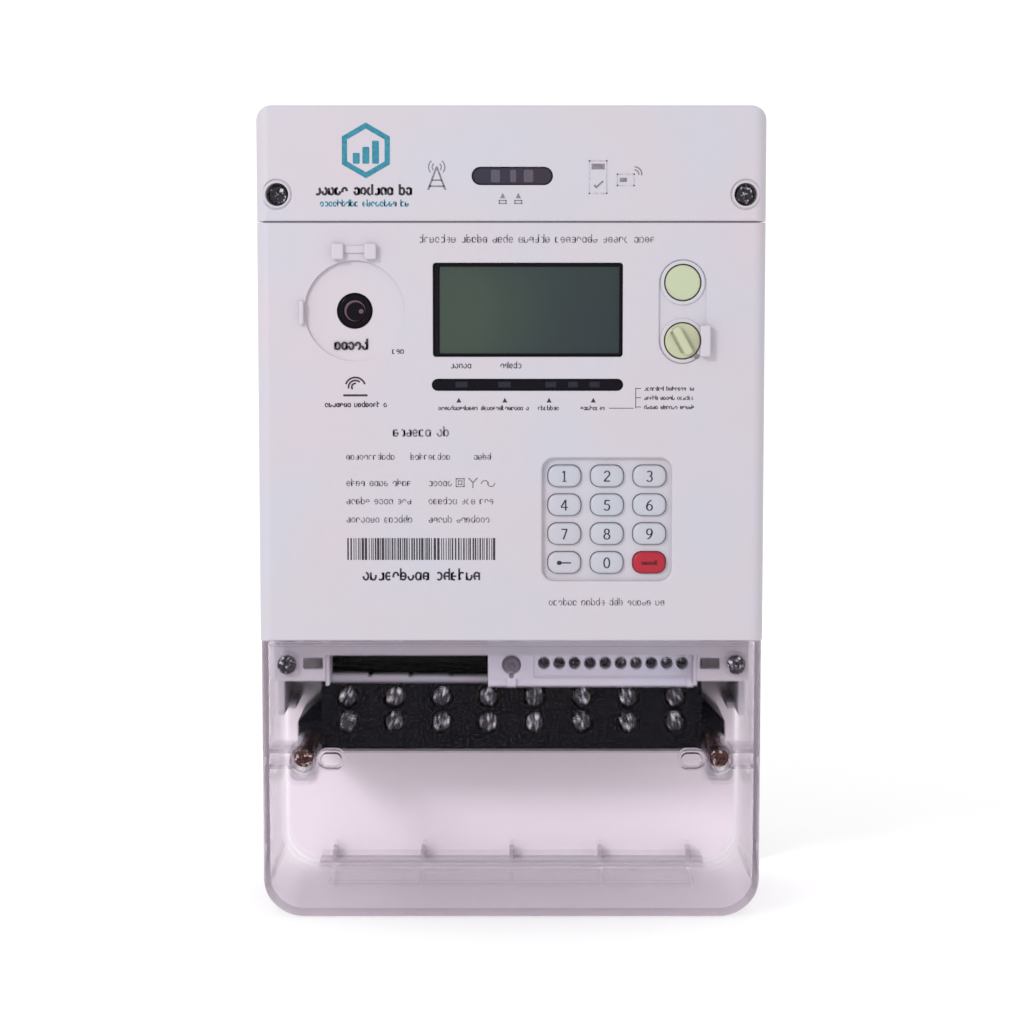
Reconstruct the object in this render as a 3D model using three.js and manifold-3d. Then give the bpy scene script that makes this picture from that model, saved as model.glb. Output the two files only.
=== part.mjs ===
// A three-phase keypad prepayment electricity meter for wall mounting, built as an assembly of separate pieces.
//
// Every piece is laid out in the wall frame, in millimetres: x to the right, y up and z straight out of the wall,
// with the origin at the middle of the back face. The exported group turns that frame, so that +Z is up and the
// front of the meter faces -Y.
import * as THREE from "three";
import { mergeVertices } from "three/addons/utils/BufferGeometryUtils.js";
import Module from "manifold-3d";

const wasm = await Module();
wasm.setup();

// ---------------------------------------------------------------- overall sizes
const WIDTH = 170;
const HEIGHT = 274;
const DEPTH = 78; // wall to the flat front face
const HEADER_HEIGHT = 38.5; // communication bay at the top
const TERMINAL_HEIGHT = 94.9; // clear cover at the bottom
const BASE_DEPTH = 40; // wall to the joint between base and front cover
const WALL = 2.5; // walls of the white mouldings
const BACK_WALL = 3;
const CLEAR_WALL = 2.4; // walls of the clear terminal cover
const GAP = 0.3; // between neighbouring pieces
const TOP_CORNER = 5.5;
const BOTTOM_CORNER = 14;
const EDGE_ROUND = 4.5; // vertical front edges

const HALF = WIDTH / 2;
const TOP = HEIGHT / 2;
const BOTTOM = -HEIGHT / 2;
const HEADER_SPLIT = TOP - HEADER_HEIGHT;
const TERMINAL_SPLIT = BOTTOM + TERMINAL_HEIGHT;
const FRONT_INSIDE = DEPTH - WALL;
const CLEAR_HALF = HALF - GAP;
const CLEAR_INSIDE = CLEAR_HALF - CLEAR_WALL;
const TONGUE_HALF = CLEAR_INSIDE - 0.4; // what stands inside the clear cover's side walls

// ---------------------------------------------------------------- lower edge of the body
const PARTITION_DROP = 7.7; // below the split, the wall over the terminal block
const PARTITION_BOTTOM = TERMINAL_SPLIT - PARTITION_DROP;
const PARTITION_TOP = PARTITION_BOTTOM + WALL;
const SKIRT_FRONT = DEPTH - 19; // front of the cover's lower skirt
const SKIRT_PLATE = 2.2;
const BRACKET_STANDOFF = 5; // the brackets' side walls end this far in front of the base joint
const BRACKET_BOTTOM = TERMINAL_SPLIT - 16.7;
const BRACKET_INNER = HALF - 21;
const BRACKET_SLOT = { width: 6.8, height: 3.8, inset: 16.6 };
const COVER_SCREW = { inset: 7.7, drop: 10.7, shank: 1.5, head: 3.2, headHeight: 2.7, length: 22 };
const COVER_SCREW_X = HALF - COVER_SCREW.inset;
const COVER_SCREW_Y = TERMINAL_SPLIT - COVER_SCREW.drop;
const POST_TOP = SKIRT_FRONT - SKIRT_PLATE - 0.8;
const POST_RADIUS = 3.4;
const GUSSET = { x: TONGUE_HALF - 1.2, thickness: 2.4, top: 14, bottom: 31, height: BASE_DEPTH + 4 };

// ---------------------------------------------------------------- terminals
const TERMINALS = 8;
const TERMINAL_PITCH = 16.5;
const BLOCK_TOP = PARTITION_BOTTOM - 1.2;
const BLOCK_HEIGHT = 35.7;
const BLOCK_BOTTOM = BLOCK_TOP - BLOCK_HEIGHT;
const BLOCK_FRONT = BASE_DEPTH;
const BLOCK_BACK = BACK_WALL + 0.4;
const BLOCK_HALF = (TERMINALS * TERMINAL_PITCH) / 2 + 0.9;
const CABLE_BORE = 4.5;
const CABLE_AXIS = BLOCK_FRONT / 2 - 1; // height of the cable bores over the wall
const CAGE = { half: 6.2, bottom: 3.2, height: 23, back: CABLE_AXIS - 10, front: CABLE_AXIS + 10 };
const SCREW_ROWS = [16.5, 25.5]; // below the top of the block
const CLAMP_SEAT = CAGE.front + 2 * GAP;
const CLAMP_SCREW = { head: 3.4, headHeight: BLOCK_FRONT - 2.4 - CLAMP_SEAT, shank: 2.9 };
const CLAMP_TIP = CABLE_AXIS + CABLE_BORE + 0.8;
const CLAMP_HOLE = CLAMP_SCREW.head + 0.5;
const RISER = { half: 3, back: CABLE_AXIS - 0.8, front: CABLE_AXIS + 1.7 };
const TROUGH = { height: 6, drop: 1.5, floor: BLOCK_FRONT - 15, lip: 2.6 };

// ---------------------------------------------------------------- auxiliary terminal strip
const STRIP = { left: -8.2, right: 63.4, height: 11.7, front: BLOCK_FRONT + 10, lip: 3, lipStep: 1.5 };
const STRIP_TOP = PARTITION_BOTTOM - 0.7;
const AUX = { count: 10, pitch: 5.35, first: 11.3, radius: 2.15, drop: 3.4, floor: BLOCK_FRONT + 2 };
const SWITCH = { radius: 2.9, drop: 3.9, back: BLOCK_FRONT + 3, front: STRIP.front + 1.2, travel: 1.5 };
const SWITCH_Y = STRIP_TOP - SWITCH.drop;

// ---------------------------------------------------------------- clear terminal cover
const CLEAR_FRONT = DEPTH - 0.4;
const SEAL = { inset: 14.2, drop: 40.9, ring: 4.6, head: 3.2, headHeight: 3.2, shank: 1.75 };
const SEAL_SEAT = DEPTH - 8;
const SEAL_X = HALF - SEAL.inset;
const SEAL_Y = TERMINAL_SPLIT - SEAL.drop;
const SEAL_BOSS = { radius: 3.4, top: BLOCK_FRONT + 2, floor: BLOCK_FRONT - 12 };
const SEAL_TIP = SEAL_BOSS.floor + 5;
const WIRE_POCKET = { width: 9.5, height: 6.8, offset: 9.6, depth: 5, wall: 1.2 };
const KNOCKOUT = { count: 4, pitch: 32.3, near: 38, far: 12, groove: 0.9, depth: 1.3 };

// ---------------------------------------------------------------- front face
const LCD = { x: 5.5, y: 69.3, width: 63.4, height: 31.3 };
const LED = { x: 5.4, y: 44.3, width: 64, height: 4 };
const OPTICAL = { x: -52.3, y: 69, radius: 5.7, seat: 16.8, depth: 0.9 };
const BUTTON = { x: 57.2, scrollY: 78.4, resetY: 59, radius: 5.9, hole: 6.2, flange: 7.2, travel: 1.2 };
const FLANGE = [DEPTH - 7.2, DEPTH - 5.8]; // back and front of the buttons' flanges
const PIVOT = { radius: 2.2, top: DEPTH - 2.4 };
const CAPSULE = { width: 15.7, height: 34.7, depth: 0.8 };
const SEAL_LUG = { width: 3.6, height: 10.6, rise: 3.4, gap: 5.7 };
const KEYPAD = { x: 32.1, y: -1, width: 44.4, height: 42.4, corner: 4, depth: 2, floor: 1.5 };
const KEY = { width: 11, height: 7.2, corner: 3.1, pitchX: 14.3, pitchY: 9.75, travel: 1.2, rise: 1.8 };
const KEY_NAMES = ["1", "2", "3", "4", "5", "6", "7", "8", "9", "back", "0", "enter"];
const LENS_SEAT = 1.5; // thickness of the flange that each lens is glued in by
const HEADER_SLOT = { x: 0.3, rise: 15.2, width: 27, height: 6 };
const HEADER_SLOT_Y = HEADER_SPLIT + HEADER_SLOT.rise;
const HEADER_SCREW = { inset: 7, rise: 9.1, head: 3.2, headHeight: 2.7, shank: 1.7, boss: 4.6 };
const HEADER_SEAT = DEPTH - 8;
const BAY_FLOOR = BASE_DEPTH + 6;
const HEADER_POST_TOP = HEADER_SEAT - 10; // pillars that the header's screws run into
const HEADER_TIP = HEADER_POST_TOP - 11;
const BOARD = { back: DEPTH - 11.7, front: DEPTH - 10.1 }; // the display's circuit board
const MAIN_BOARD = { back: 31, front: 32.6, tall: BOARD.back - 8.3 };

// ---------------------------------------------------------------- hanger at the back
const HANGER = { width: 29.4, height: 26, thickness: 1.6, back: 1.5, opening: 22, drop: 2 };
// The hanger's middle is pressed back towards the wall, round its keyhole.
const HANGER_PAD = { back: 0.4, margin: 1.2, keyhole: 14.5 };
// The connector joins the main board to the communication module.
const CONNECTOR = { half: 13, bottom: TOP - 25, top: TOP - 19 };
const HANGER_POCKET = { extraWidth: 0.6, front: 3.4, lips: 1.2, pad: 5.9 };
const WALL_SLOT = { x: HALF - 8.6, y: -97.5, width: 5.5, height: 9, pad: 2.5, corner: 3, padHeight: 1 };
// The ribs and the sill that stand along the foot of the plate.
const BAY_RIB = { width: 1.6, height: 6, front: 9, sillHeight: 2, sillInset: 15 };

// ---------------------------------------------------------------- solids
// A closed geometry as a manifold-3d solid.
function solid(geometry) {
  const bare = geometry.clone();
  bare.deleteAttribute("normal");
  bare.deleteAttribute("uv");
  const merged = mergeVertices(bare, 1e-4);
  const vertProperties = merged.attributes.position.array;
  const triVerts = new Uint32Array(merged.index.array);
  return new wasm.Manifold(new wasm.Mesh({ numProp: 3, vertProperties, triVerts }));
}

// A manifold-3d solid back as a geometry.
function geometryOf(made) {
  const mesh = made.getMesh();
  const position = new THREE.BufferAttribute(new Float32Array(mesh.vertProperties), 3);
  return new THREE.BufferGeometry().setAttribute("position", position).setIndex([...mesh.triVerts]);
}

const joined = (solids) => solids.reduce((whole, piece) => whole.add(piece));

function box([x0, x1], [y0, y1], [z0, z1]) {
  const geometry = new THREE.BoxGeometry(x1 - x0, y1 - y0, z1 - z0);
  return solid(geometry.translate((x0 + x1) / 2, (y0 + y1) / 2, (z0 + z1) / 2));
}

// A cylinder that stands straight out of the wall.
function pin(x, y, radius, [z0, z1], sides = 20) {
  const geometry = new THREE.CylinderGeometry(radius, radius, z1 - z0, sides);
  return solid(geometry.rotateX(Math.PI / 2).translate(x, y, (z0 + z1) / 2));
}

// A cylinder that stands upright, along y.
function upright(x, z, radius, [y0, y1], sides = 20) {
  const geometry = new THREE.CylinderGeometry(radius, radius, y1 - y0, sides);
  return solid(geometry.translate(x, (y0 + y1) / 2, z));
}

function polygon(points) {
  return new THREE.Shape(points.map(([a, b]) => new THREE.Vector2(a, b)));
}

// A rectangle with corners [top left, top right, bottom right, bottom left] rounded; 0 leaves a corner sharp.
function rounded([x0, x1], [y0, y1], corners) {
  const [tl, tr, br, bl] = Array.isArray(corners) ? corners : [corners, corners, corners, corners];
  const shape = new THREE.Shape();
  shape.moveTo(x0 + bl, y0);
  shape.lineTo(x1 - br, y0);
  if (br) shape.absarc(x1 - br, y0 + br, br, -Math.PI / 2, 0, false);
  shape.lineTo(x1, y1 - tr);
  if (tr) shape.absarc(x1 - tr, y1 - tr, tr, 0, Math.PI / 2, false);
  shape.lineTo(x0 + tl, y1);
  if (tl) shape.absarc(x0 + tl, y1 - tl, tl, Math.PI / 2, Math.PI, false);
  shape.lineTo(x0, y0 + bl);
  if (bl) shape.absarc(x0 + bl, y0 + bl, bl, Math.PI, Math.PI * 1.5, false);
  return shape;
}

const centred = (x, y, width, height, corners) =>
  rounded([x - width / 2, x + width / 2], [y - height / 2, y + height / 2], corners);

// A slot outline with round ends along its longer side.
const stadium = (x, y, width, height) =>
  centred(x, y, width, height, Math.min(width, height) / 2 - 1e-3);

const outline = (shape, depth, curveSegments) =>
  new THREE.ExtrudeGeometry(shape, { depth, bevelEnabled: false, curveSegments });

// A front view outline, carried out of the wall from z0 to z1.
function prism(shape, [z0, z1], curveSegments = 3) {
  return solid(outline(shape, z1 - z0, curveSegments).translate(0, 0, z0));
}

// A top view outline in (x, z), carried up from y0 to y1.
function column(shape, [y0, y1], curveSegments = 3) {
  return solid(outline(shape, y1 - y0, curveSegments).rotateX(Math.PI / 2).translate(0, y1, 0));
}

// A side view outline in (y, z), carried across from x0 to x1.
function beam(shape, [x0, x1]) {
  const axes = new THREE.Matrix4().makeBasis(
    new THREE.Vector3(0, 1, 0),
    new THREE.Vector3(0, 0, 1),
    new THREE.Vector3(1, 0, 0),
  );
  return solid(outline(shape, x1 - x0, 3).applyMatrix4(axes).translate(x0, 0, 0));
}

// A block with this front view outline whose vertical front edges are rounded.
function roundFronted(shape, half, [y0, y1], [z0, z1], edge) {
  const section = rounded([-half, half], [z0, z1], [edge, edge, 0, 0]);
  return prism(shape, [z0, z1]).intersect(column(section, [y0, y1]));
}

// Both mirror images of a solid, joined by the caller.
const bothSides = (make) => [make(-1), make(1)];

// ---------------------------------------------------------------- base
const mainBoardPosts = [-1, 1].flatMap((side) => [-30, TOP - 17].map((y) => [side * (HALF - 15), y]));

function baseHousing() {
  const body = rounded([-HALF, HALF], [TERMINAL_SPLIT, TOP], [TOP_CORNER, TOP_CORNER, 0, 0]);
  const inner = TOP_CORNER - WALL;
  const hollow = rounded(
    [WALL - HALF, HALF - WALL],
    [TERMINAL_SPLIT + WALL, TOP - WALL],
    [inner, inner, 0, 0],
  );
  const plateBottom = BOTTOM + CLEAR_WALL + 0.6;
  const corner = BOTTOM_CORNER - CLEAR_WALL;
  const plate = rounded(
    [-TONGUE_HALF, TONGUE_HALF],
    [plateBottom, TERMINAL_SPLIT + 1],
    [0, 0, corner, corner],
  );
  const bayRibs = Array.from({ length: KNOCKOUT.count + 1 }, (_, i) => {
    const x = (i - KNOCKOUT.count / 2) * KNOCKOUT.pitch;
    return box(
      [x - BAY_RIB.width / 2, x + BAY_RIB.width / 2],
      [plateBottom, plateBottom + BAY_RIB.height],
      [1, BAY_RIB.front],
    );
  });
  const sill = HALF - BAY_RIB.sillInset;
  const padTop = TOP - WALL + 0.5;
  const pocketHalf = (HANGER.width + HANGER_POCKET.extraWidth) / 2;
  const pocketBottom = TOP - HANGER.drop - HANGER.height - GAP;
  return joined([
    prism(body, [0, BASE_DEPTH]).subtract(prism(hollow, [BACK_WALL, BASE_DEPTH + 1])),
    prism(plate, [0, BACK_WALL]),
    box([-TONGUE_HALF, TONGUE_HALF], [PARTITION_BOTTOM, TERMINAL_SPLIT + 1], [0, BASE_DEPTH]),
    box([-sill, sill], [plateBottom, plateBottom + BAY_RIB.sillHeight], [1, BAY_RIB.front]),
    box([-pocketHalf - WALL, pocketHalf + WALL], [pocketBottom - WALL, padTop], [1, HANGER_POCKET.pad]),
    ...bayRibs,
    ...mainBoardPosts.map(([x, y]) => pin(x, y, 3, [1, MAIN_BOARD.back - GAP], 12)),
    ...bothSides((side) => pin(side * COVER_SCREW_X, COVER_SCREW_Y, POST_RADIUS,
      [1, POST_TOP], 16)),
    ...bothSides((side) => prism(
      centred(
        side * WALL_SLOT.x,
        WALL_SLOT.y,
        WALL_SLOT.width + 2 * WALL_SLOT.pad,
        WALL_SLOT.height + 2 * WALL_SLOT.pad,
        WALL_SLOT.corner,
      ),
      [1, BACK_WALL + WALL_SLOT.padHeight],
      2,
    )),
    ...bothSides((side) => box(
      [side * GUSSET.x - GUSSET.thickness / 2, side * GUSSET.x + GUSSET.thickness / 2],
      [TERMINAL_SPLIT - GUSSET.bottom, TERMINAL_SPLIT - GUSSET.top],
      [1, GUSSET.height],
    )),
  ])
    .subtract(box([WALL - TONGUE_HALF, TONGUE_HALF - WALL], [PARTITION_TOP, TERMINAL_SPLIT + WALL + 0.1],
      [BACK_WALL, BASE_DEPTH + 1]))
    .subtract(joined(terminalCentres().map((x) => box([x - RISER.half - GAP, x + RISER.half + GAP],
      [PARTITION_BOTTOM - 1, PARTITION_TOP + 1], [RISER.back - GAP, BASE_DEPTH + 1]))))
    .subtract(joined(bothSides((side) => pin(side * COVER_SCREW_X, COVER_SCREW_Y,
      COVER_SCREW.shank + GAP, [SKIRT_FRONT - COVER_SCREW.length - 1, POST_TOP + 1], 12))))
    .subtract(box(
      [-pocketHalf, pocketHalf],
      [pocketBottom, TOP + 1],
      [HANGER_POCKET.lips, HANGER_POCKET.front],
    ))
    .subtract(box([-HANGER.opening / 2, HANGER.opening / 2], [pocketBottom, TOP + 1], [-1, 2]))
    .subtract(joined(bothSides((side) => prism(
      stadium(side * WALL_SLOT.x, WALL_SLOT.y, WALL_SLOT.width, WALL_SLOT.height),
      [-1, BACK_WALL + WALL_SLOT.padHeight + 1],
    ))));
}

// A steel plate with a keyhole that slides up out of the back of the base.
function hangerBracket() {
  const top = TOP - HANGER.drop;
  const half = HANGER.width / 2;
  const padHalf = HANGER.opening / 2 - HANGER_PAD.margin;
  const through = [HANGER_PAD.back - 1, HANGER.back + HANGER.thickness + 1];
  const padEdges = [top - HANGER.height + HANGER_PAD.margin, top - HANGER_PAD.margin];
  return prism(rounded([-half, half], [top - HANGER.height, top], [3, 3, 0, 0]),
    [HANGER.back, HANGER.back + HANGER.thickness], 2)
    .add(prism(rounded([-padHalf, padHalf], padEdges, 2), [HANGER_PAD.back, HANGER.back + 0.1], 2))
    .subtract(pin(0, top - HANGER_PAD.keyhole, 4.5, through, 20))
    .subtract(prism(stadium(0, top - HANGER_PAD.keyhole + 5, 5, 11), through, 2));
}

// The rubber seal inside the joint between base and front cover.
function bodyGasket() {
  const ring = (inset) => {
    const x = HALF - WALL - GAP - inset;
    const y = [TERMINAL_SPLIT + WALL + GAP + inset, TOP - WALL - GAP - inset];
    const tongue = TONGUE_HALF - WALL - GAP - inset;
    const depth = [BASE_DEPTH - 1.4, BASE_DEPTH + 2.2];
    return prism(rounded([-x, x], y, Math.max(0.5, TOP_CORNER - WALL - inset)), depth)
      .add(box([-tongue, tongue], [PARTITION_TOP + GAP + inset, y[0] + 5], depth));
  };
  const width = 1.8;
  const inner = ring(width).scale([1, 1, 3]).translate([0, 0, -2 * BASE_DEPTH]);
  return ring(0).subtract(inner);
}

// ---------------------------------------------------------------- front cover
function keyPlaces() {
  return KEY_NAMES.map((name, i) => {
    const x = KEYPAD.x + ((i % 3) - 1) * KEY.pitchX;
    const y = KEYPAD.y + (1.5 - Math.floor(i / 3)) * KEY.pitchY;
    return { name: "key_" + name, x, y };
  });
}

function frontCoverShell() {
  const main = rounded([-HALF, HALF], [TERMINAL_SPLIT, HEADER_SPLIT - GAP / 2], 0);
  const bay = rounded([-HALF, HALF], [HEADER_SPLIT - 1, TOP], [TOP_CORNER, TOP_CORNER, 0, 0]);
  const z0 = BASE_DEPTH + GAP;
  const bayInner = TOP_CORNER - WALL;
  const tray = rounded(
    [WALL - HALF, HALF - WALL],
    [HEADER_SPLIT - 4, TOP - WALL],
    [bayInner, bayInner, 0, 0],
  );
  const mainTop = HEADER_SPLIT - GAP / 2 - WALL;
  const inside = rounded([WALL - HALF, HALF - WALL], [z0 - 5, FRONT_INSIDE],
    [EDGE_ROUND - WALL, EDGE_ROUND - WALL, 0, 0]);
  return roundFronted(main, HALF, [TERMINAL_SPLIT, HEADER_SPLIT], [z0, DEPTH], EDGE_ROUND)
    .subtract(column(inside, [TERMINAL_SPLIT + WALL, mainTop], 2))
    .add(prism(bay, [z0, BAY_FLOOR]))
    .subtract(prism(tray, [z0 - 1, BAY_FLOOR - WALL]))
    .add(lowerSkirt(z0))
    .subtract(box([WALL - TONGUE_HALF, TONGUE_HALF - WALL], [PARTITION_TOP, TERMINAL_SPLIT + WALL + 0.1],
      [z0 - 1, SKIRT_FRONT - SKIRT_PLATE]));
}

// The part of the cover that steps back below the split and carries the two fixing brackets.
function lowerSkirt(z0) {
  const band = box([-TONGUE_HALF, TONGUE_HALF], [PARTITION_BOTTOM, TERMINAL_SPLIT + 1], [z0, SKIRT_FRONT]);
  const brackets = bothSides((side) => {
    const span = [BRACKET_INNER, TONGUE_HALF].map((x) => side * x).sort((a, b) => a - b);
    const hollow = [span[0] + 1.6, span[1] - 1.6];
    const slot = side * (HALF - BRACKET_SLOT.inset);
    return box(span, [BRACKET_BOTTOM, PARTITION_BOTTOM + 0.5], [z0 + BRACKET_STANDOFF, SKIRT_FRONT])
      .subtract(box(hollow, [BRACKET_BOTTOM + 1.6, PARTITION_BOTTOM], [z0, SKIRT_FRONT - SKIRT_PLATE]))
      .subtract(box([slot - BRACKET_SLOT.width / 2, slot + BRACKET_SLOT.width / 2],
        [TERMINAL_SPLIT - 12.4, TERMINAL_SPLIT - 12.4 + BRACKET_SLOT.height], [SKIRT_FRONT - 5, SKIRT_FRONT + 1]));
  });
  const holes = bothSides((side) => pin(side * COVER_SCREW_X, COVER_SCREW_Y,
    COVER_SCREW.shank + 0.4, [z0, SKIRT_FRONT + 1], 12));
  const posts = bothSides((side) => pin(side * COVER_SCREW_X, COVER_SCREW_Y,
    POST_RADIUS + 0.4, [z0 - 1, SKIRT_FRONT - SKIRT_PLATE], 16));
  return joined([band, ...brackets]).subtract(joined([...holes, ...posts]));
}

function probeSeat() {
  const tilt = Math.atan(OPTICAL.depth / (2 * OPTICAL.seat));
  const disc = new THREE.CylinderGeometry(OPTICAL.seat, OPTICAL.seat, 6, 48).rotateX(Math.PI / 2);
  disc.translate(0, 0, 3);
  const lean = new THREE.Vector3(1, 1, 0).normalize();
  disc.applyMatrix4(new THREE.Matrix4().makeRotationAxis(lean, -tilt));
  return solid(disc.translate(OPTICAL.x, OPTICAL.y, DEPTH - OPTICAL.depth / 2));
}

function frontCover() {
  const through = [DEPTH - 6, DEPTH + 1];
  const keypadBack = DEPTH - KEYPAD.depth - KEYPAD.floor;
  const sealLugX = BUTTON.x + SEAL_LUG.gap + SEAL_LUG.width / 2;
  const keypadRecess = centred(KEYPAD.x, KEYPAD.y, KEYPAD.width, KEYPAD.height, KEYPAD.corner);
  const shell = joined([
    frontCoverShell(),
    box([KEYPAD.x - KEYPAD.width / 2 - 2, KEYPAD.x + KEYPAD.width / 2 + 2],
      [KEYPAD.y - KEYPAD.height / 2 - 2, KEYPAD.y + KEYPAD.height / 2 + 2], [keypadBack, DEPTH - 1]),
    ...boardPosts().map(([x, y]) => pin(x, y, 2.5, [BOARD.front + GAP, FRONT_INSIDE + 0.5], 12)),
    ...bothSides((side) => pin(side * (HALF - HEADER_SCREW.inset), HEADER_SPLIT + HEADER_SCREW.rise, 3.6,
      [BAY_FLOOR - WALL, HEADER_POST_TOP], 16)),
    ...[-5.5, 5.4].map((dx) => box([OPTICAL.x + dx - 2, OPTICAL.x + dx + 2],
      [OPTICAL.y + OPTICAL.seat + 0.2, OPTICAL.y + OPTICAL.seat + 5.6], [DEPTH - 1, DEPTH + 2.4])),
    box(
      [OPTICAL.x - OPTICAL.seat - 1.7, OPTICAL.x - OPTICAL.seat - 0.1],
      [OPTICAL.y - 4.5, OPTICAL.y + 3.5],
      [DEPTH - 1, DEPTH + 1.8],
    ),
    prism(
      centred(sealLugX, BUTTON.resetY, SEAL_LUG.width, SEAL_LUG.height, 1),
      [DEPTH - 1, DEPTH + SEAL_LUG.rise],
      2,
    ),
  ]);
  const cuts = [
    prism(centred(LCD.x, LCD.y, LCD.width, LCD.height, 1), through, 2),
    prism(stadium(LED.x, LED.y, LED.width, LED.height), through),
    pin(OPTICAL.x, OPTICAL.y, OPTICAL.radius, through, 28),
    probeSeat(),
    prism(stadium(BUTTON.x, (BUTTON.scrollY + BUTTON.resetY) / 2, CAPSULE.width, CAPSULE.height),
      [DEPTH - CAPSULE.depth, DEPTH + 1], 6).subtract(box([BUTTON.x + SEAL_LUG.gap, BUTTON.x + 20],
      [BUTTON.resetY - SEAL_LUG.height / 2, BUTTON.resetY + SEAL_LUG.height / 2], [0, DEPTH + 9])),
    pin(BUTTON.x, BUTTON.scrollY, BUTTON.hole, through, 28),
    pin(BUTTON.x, BUTTON.resetY, BUTTON.hole, through, 28),
    pin(BUTTON.x, BUTTON.resetY, BUTTON.hole, [DEPTH, DEPTH + 9], 28),
    box([BUTTON.x, BUTTON.x + 20], [BUTTON.resetY - 0.7, BUTTON.resetY + 0.7], [DEPTH + 1.2, DEPTH + 2.6]),
    prism(keypadRecess, [DEPTH - KEYPAD.depth, DEPTH + 1]),
    ...keyPlaces().map(({ x, y }) => prism(centred(x, y, KEY.width + 2 * GAP, KEY.height + 2 * GAP, KEY.corner),
      through, 2)),
    ...bothSides((side) => pin(side * (HALF - HEADER_SCREW.inset), HEADER_SPLIT + HEADER_SCREW.rise,
      HEADER_SCREW.shank + GAP, [HEADER_TIP - 1.5, HEADER_POST_TOP + 1], 12)),
    box([-CONNECTOR.half - 3, CONNECTOR.half + 3], [CONNECTOR.bottom - 1, CONNECTOR.top + 1],
      [BASE_DEPTH, BAY_FLOOR + 1]),
  ];
  return shell.subtract(joined(cuts));
}

// ---------------------------------------------------------------- lenses and display
const LAMP_TOP = FRONT_INSIDE - LENS_SEAT - 1.4;

// A lens glued in behind the front wall, with a nose that stands into its opening.
function lens(nose, flange, front) {
  const seat = FRONT_INSIDE - GAP;
  return prism(flange, [seat - LENS_SEAT, seat]).add(prism(nose, [seat - 0.5, front]));
}

const lcdWindow = () => lens(
  centred(LCD.x, LCD.y, LCD.width - 2 * GAP, LCD.height - 2 * GAP, 0.8),
  centred(LCD.x, LCD.y, LCD.width + 4.2, LCD.height + 4.2, 1.5),
  DEPTH - 1.3,
);

const ledLightBar = () => lens(
  stadium(LED.x, LED.y, LED.width - 2 * GAP, LED.height - 2 * GAP),
  centred(LED.x, LED.y, LED.width + 4, LED.height + 4, 1.5),
  DEPTH - 0.5,
);

function opticalWindow() {
  const seat = FRONT_INSIDE - GAP;
  return pin(OPTICAL.x, OPTICAL.y, OPTICAL.radius + 1.8, [seat - LENS_SEAT, seat], 24)
    .add(pin(OPTICAL.x, OPTICAL.y, OPTICAL.radius - GAP, [seat - 0.5, DEPTH - 1.4], 24));
}

function lcdModule() {
  const back = BOARD.front + GAP;
  const front = FRONT_INSIDE - GAP - LENS_SEAT - 0.4;
  return box([LCD.x - 34.5, LCD.x + 34.5], [LCD.y - 18.5, LCD.y + 18.5], [back, front - 1.1])
    .add(box([LCD.x - 31, LCD.x + 31], [LCD.y - 15, LCD.y + 15], [front - 1.5, front]));
}

const BOARD_POST = { x: HALF - 18, heights: [TERMINAL_SPLIT + 17, HEADER_SPLIT - 9] };
const boardPosts = () => [-1, 1].flatMap((side) => BOARD_POST.heights.map((y) => [side * BOARD_POST.x, y]));

// The circuit board behind the front face, with its two push switches and its row of indicator lamps.
function displayBoard() {
  const half = HALF - 14;
  const lampDepth = [BOARD.back + 0.5, LAMP_TOP];
  const lamps = [-25, -10.5, 2.5, 9.5, 16.5].map((dx) => pin(LED.x + dx, LED.y, 1.5, lampDepth, 10));
  return joined([
    box([-half, half], [TERMINAL_SPLIT + 13, HEADER_SPLIT - 5], [BOARD.back, BOARD.front]),
    ...lamps,
    ...[BUTTON.scrollY, BUTTON.resetY].map((y) => box([BUTTON.x - 3, BUTTON.x + 3], [y - 3, y + 3],
      [BOARD.back + 0.5, FLANGE[0] - BUTTON.travel - GAP])),
    ...bothSides((side) => pin(OPTICAL.x + 3 * side, OPTICAL.y, 2, [BOARD.back + 0.5, LAMP_TOP], 10)),
  ]);
}

// The power board, with its transformer, capacitors and connector to the communication bay.
function mainBoard() {
  const half = HALF - 9;
  const root = MAIN_BOARD.front - 0.6;
  return joined([
    box([-half, half], [TERMINAL_SPLIT + 5, TOP - 10], [MAIN_BOARD.back, MAIN_BOARD.front]),
    box([-62, -24], [34, 66], [root, MAIN_BOARD.tall]),
    box([14, 32], [26, 40], [root, MAIN_BOARD.tall - 10]),
    ...[44, 64].map((y) => pin(0, y, 8, [root, MAIN_BOARD.tall - 1], 16)),
    pin(48, 60, 6, [root, MAIN_BOARD.tall - 8], 14),
    box([-CONNECTOR.half, CONNECTOR.half], [CONNECTOR.bottom, CONNECTOR.top], [root, BAY_FLOOR - 1]),
  ]);
}

// ---------------------------------------------------------------- keys and buttons
const KEY_BACK = DEPTH - 5.5;

// One key cap with its retaining flange, about the middle of the key.
function keyCap() {
  const top = DEPTH - KEYPAD.depth + KEY.rise;
  return joined([
    prism(centred(0, 0, KEY.width + 1.6, KEY.height + 1.6, KEY.corner), [KEY_BACK, KEY_BACK + 1.2], 2),
    prism(centred(0, 0, KEY.width, KEY.height, KEY.corner), [KEY_BACK + 1, top - 0.5], 2),
    prism(centred(0, 0, KEY.width - 1.4, KEY.height - 1.4, KEY.corner - 0.7), [top - 0.6, top], 2),
  ]);
}

const keypadMat = () => prism(
  centred(KEYPAD.x, KEYPAD.y, KEYPAD.width + 2, KEYPAD.height + 2, 2),
  [BOARD.front + GAP, KEY_BACK - KEY.travel - GAP],
);

function scrollButton() {
  return pin(BUTTON.x, BUTTON.scrollY, BUTTON.flange, FLANGE, 24)
    .add(pin(BUTTON.x, BUTTON.scrollY, BUTTON.radius, [FLANGE[1] - 0.2, DEPTH - 0.5], 28));
}

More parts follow.
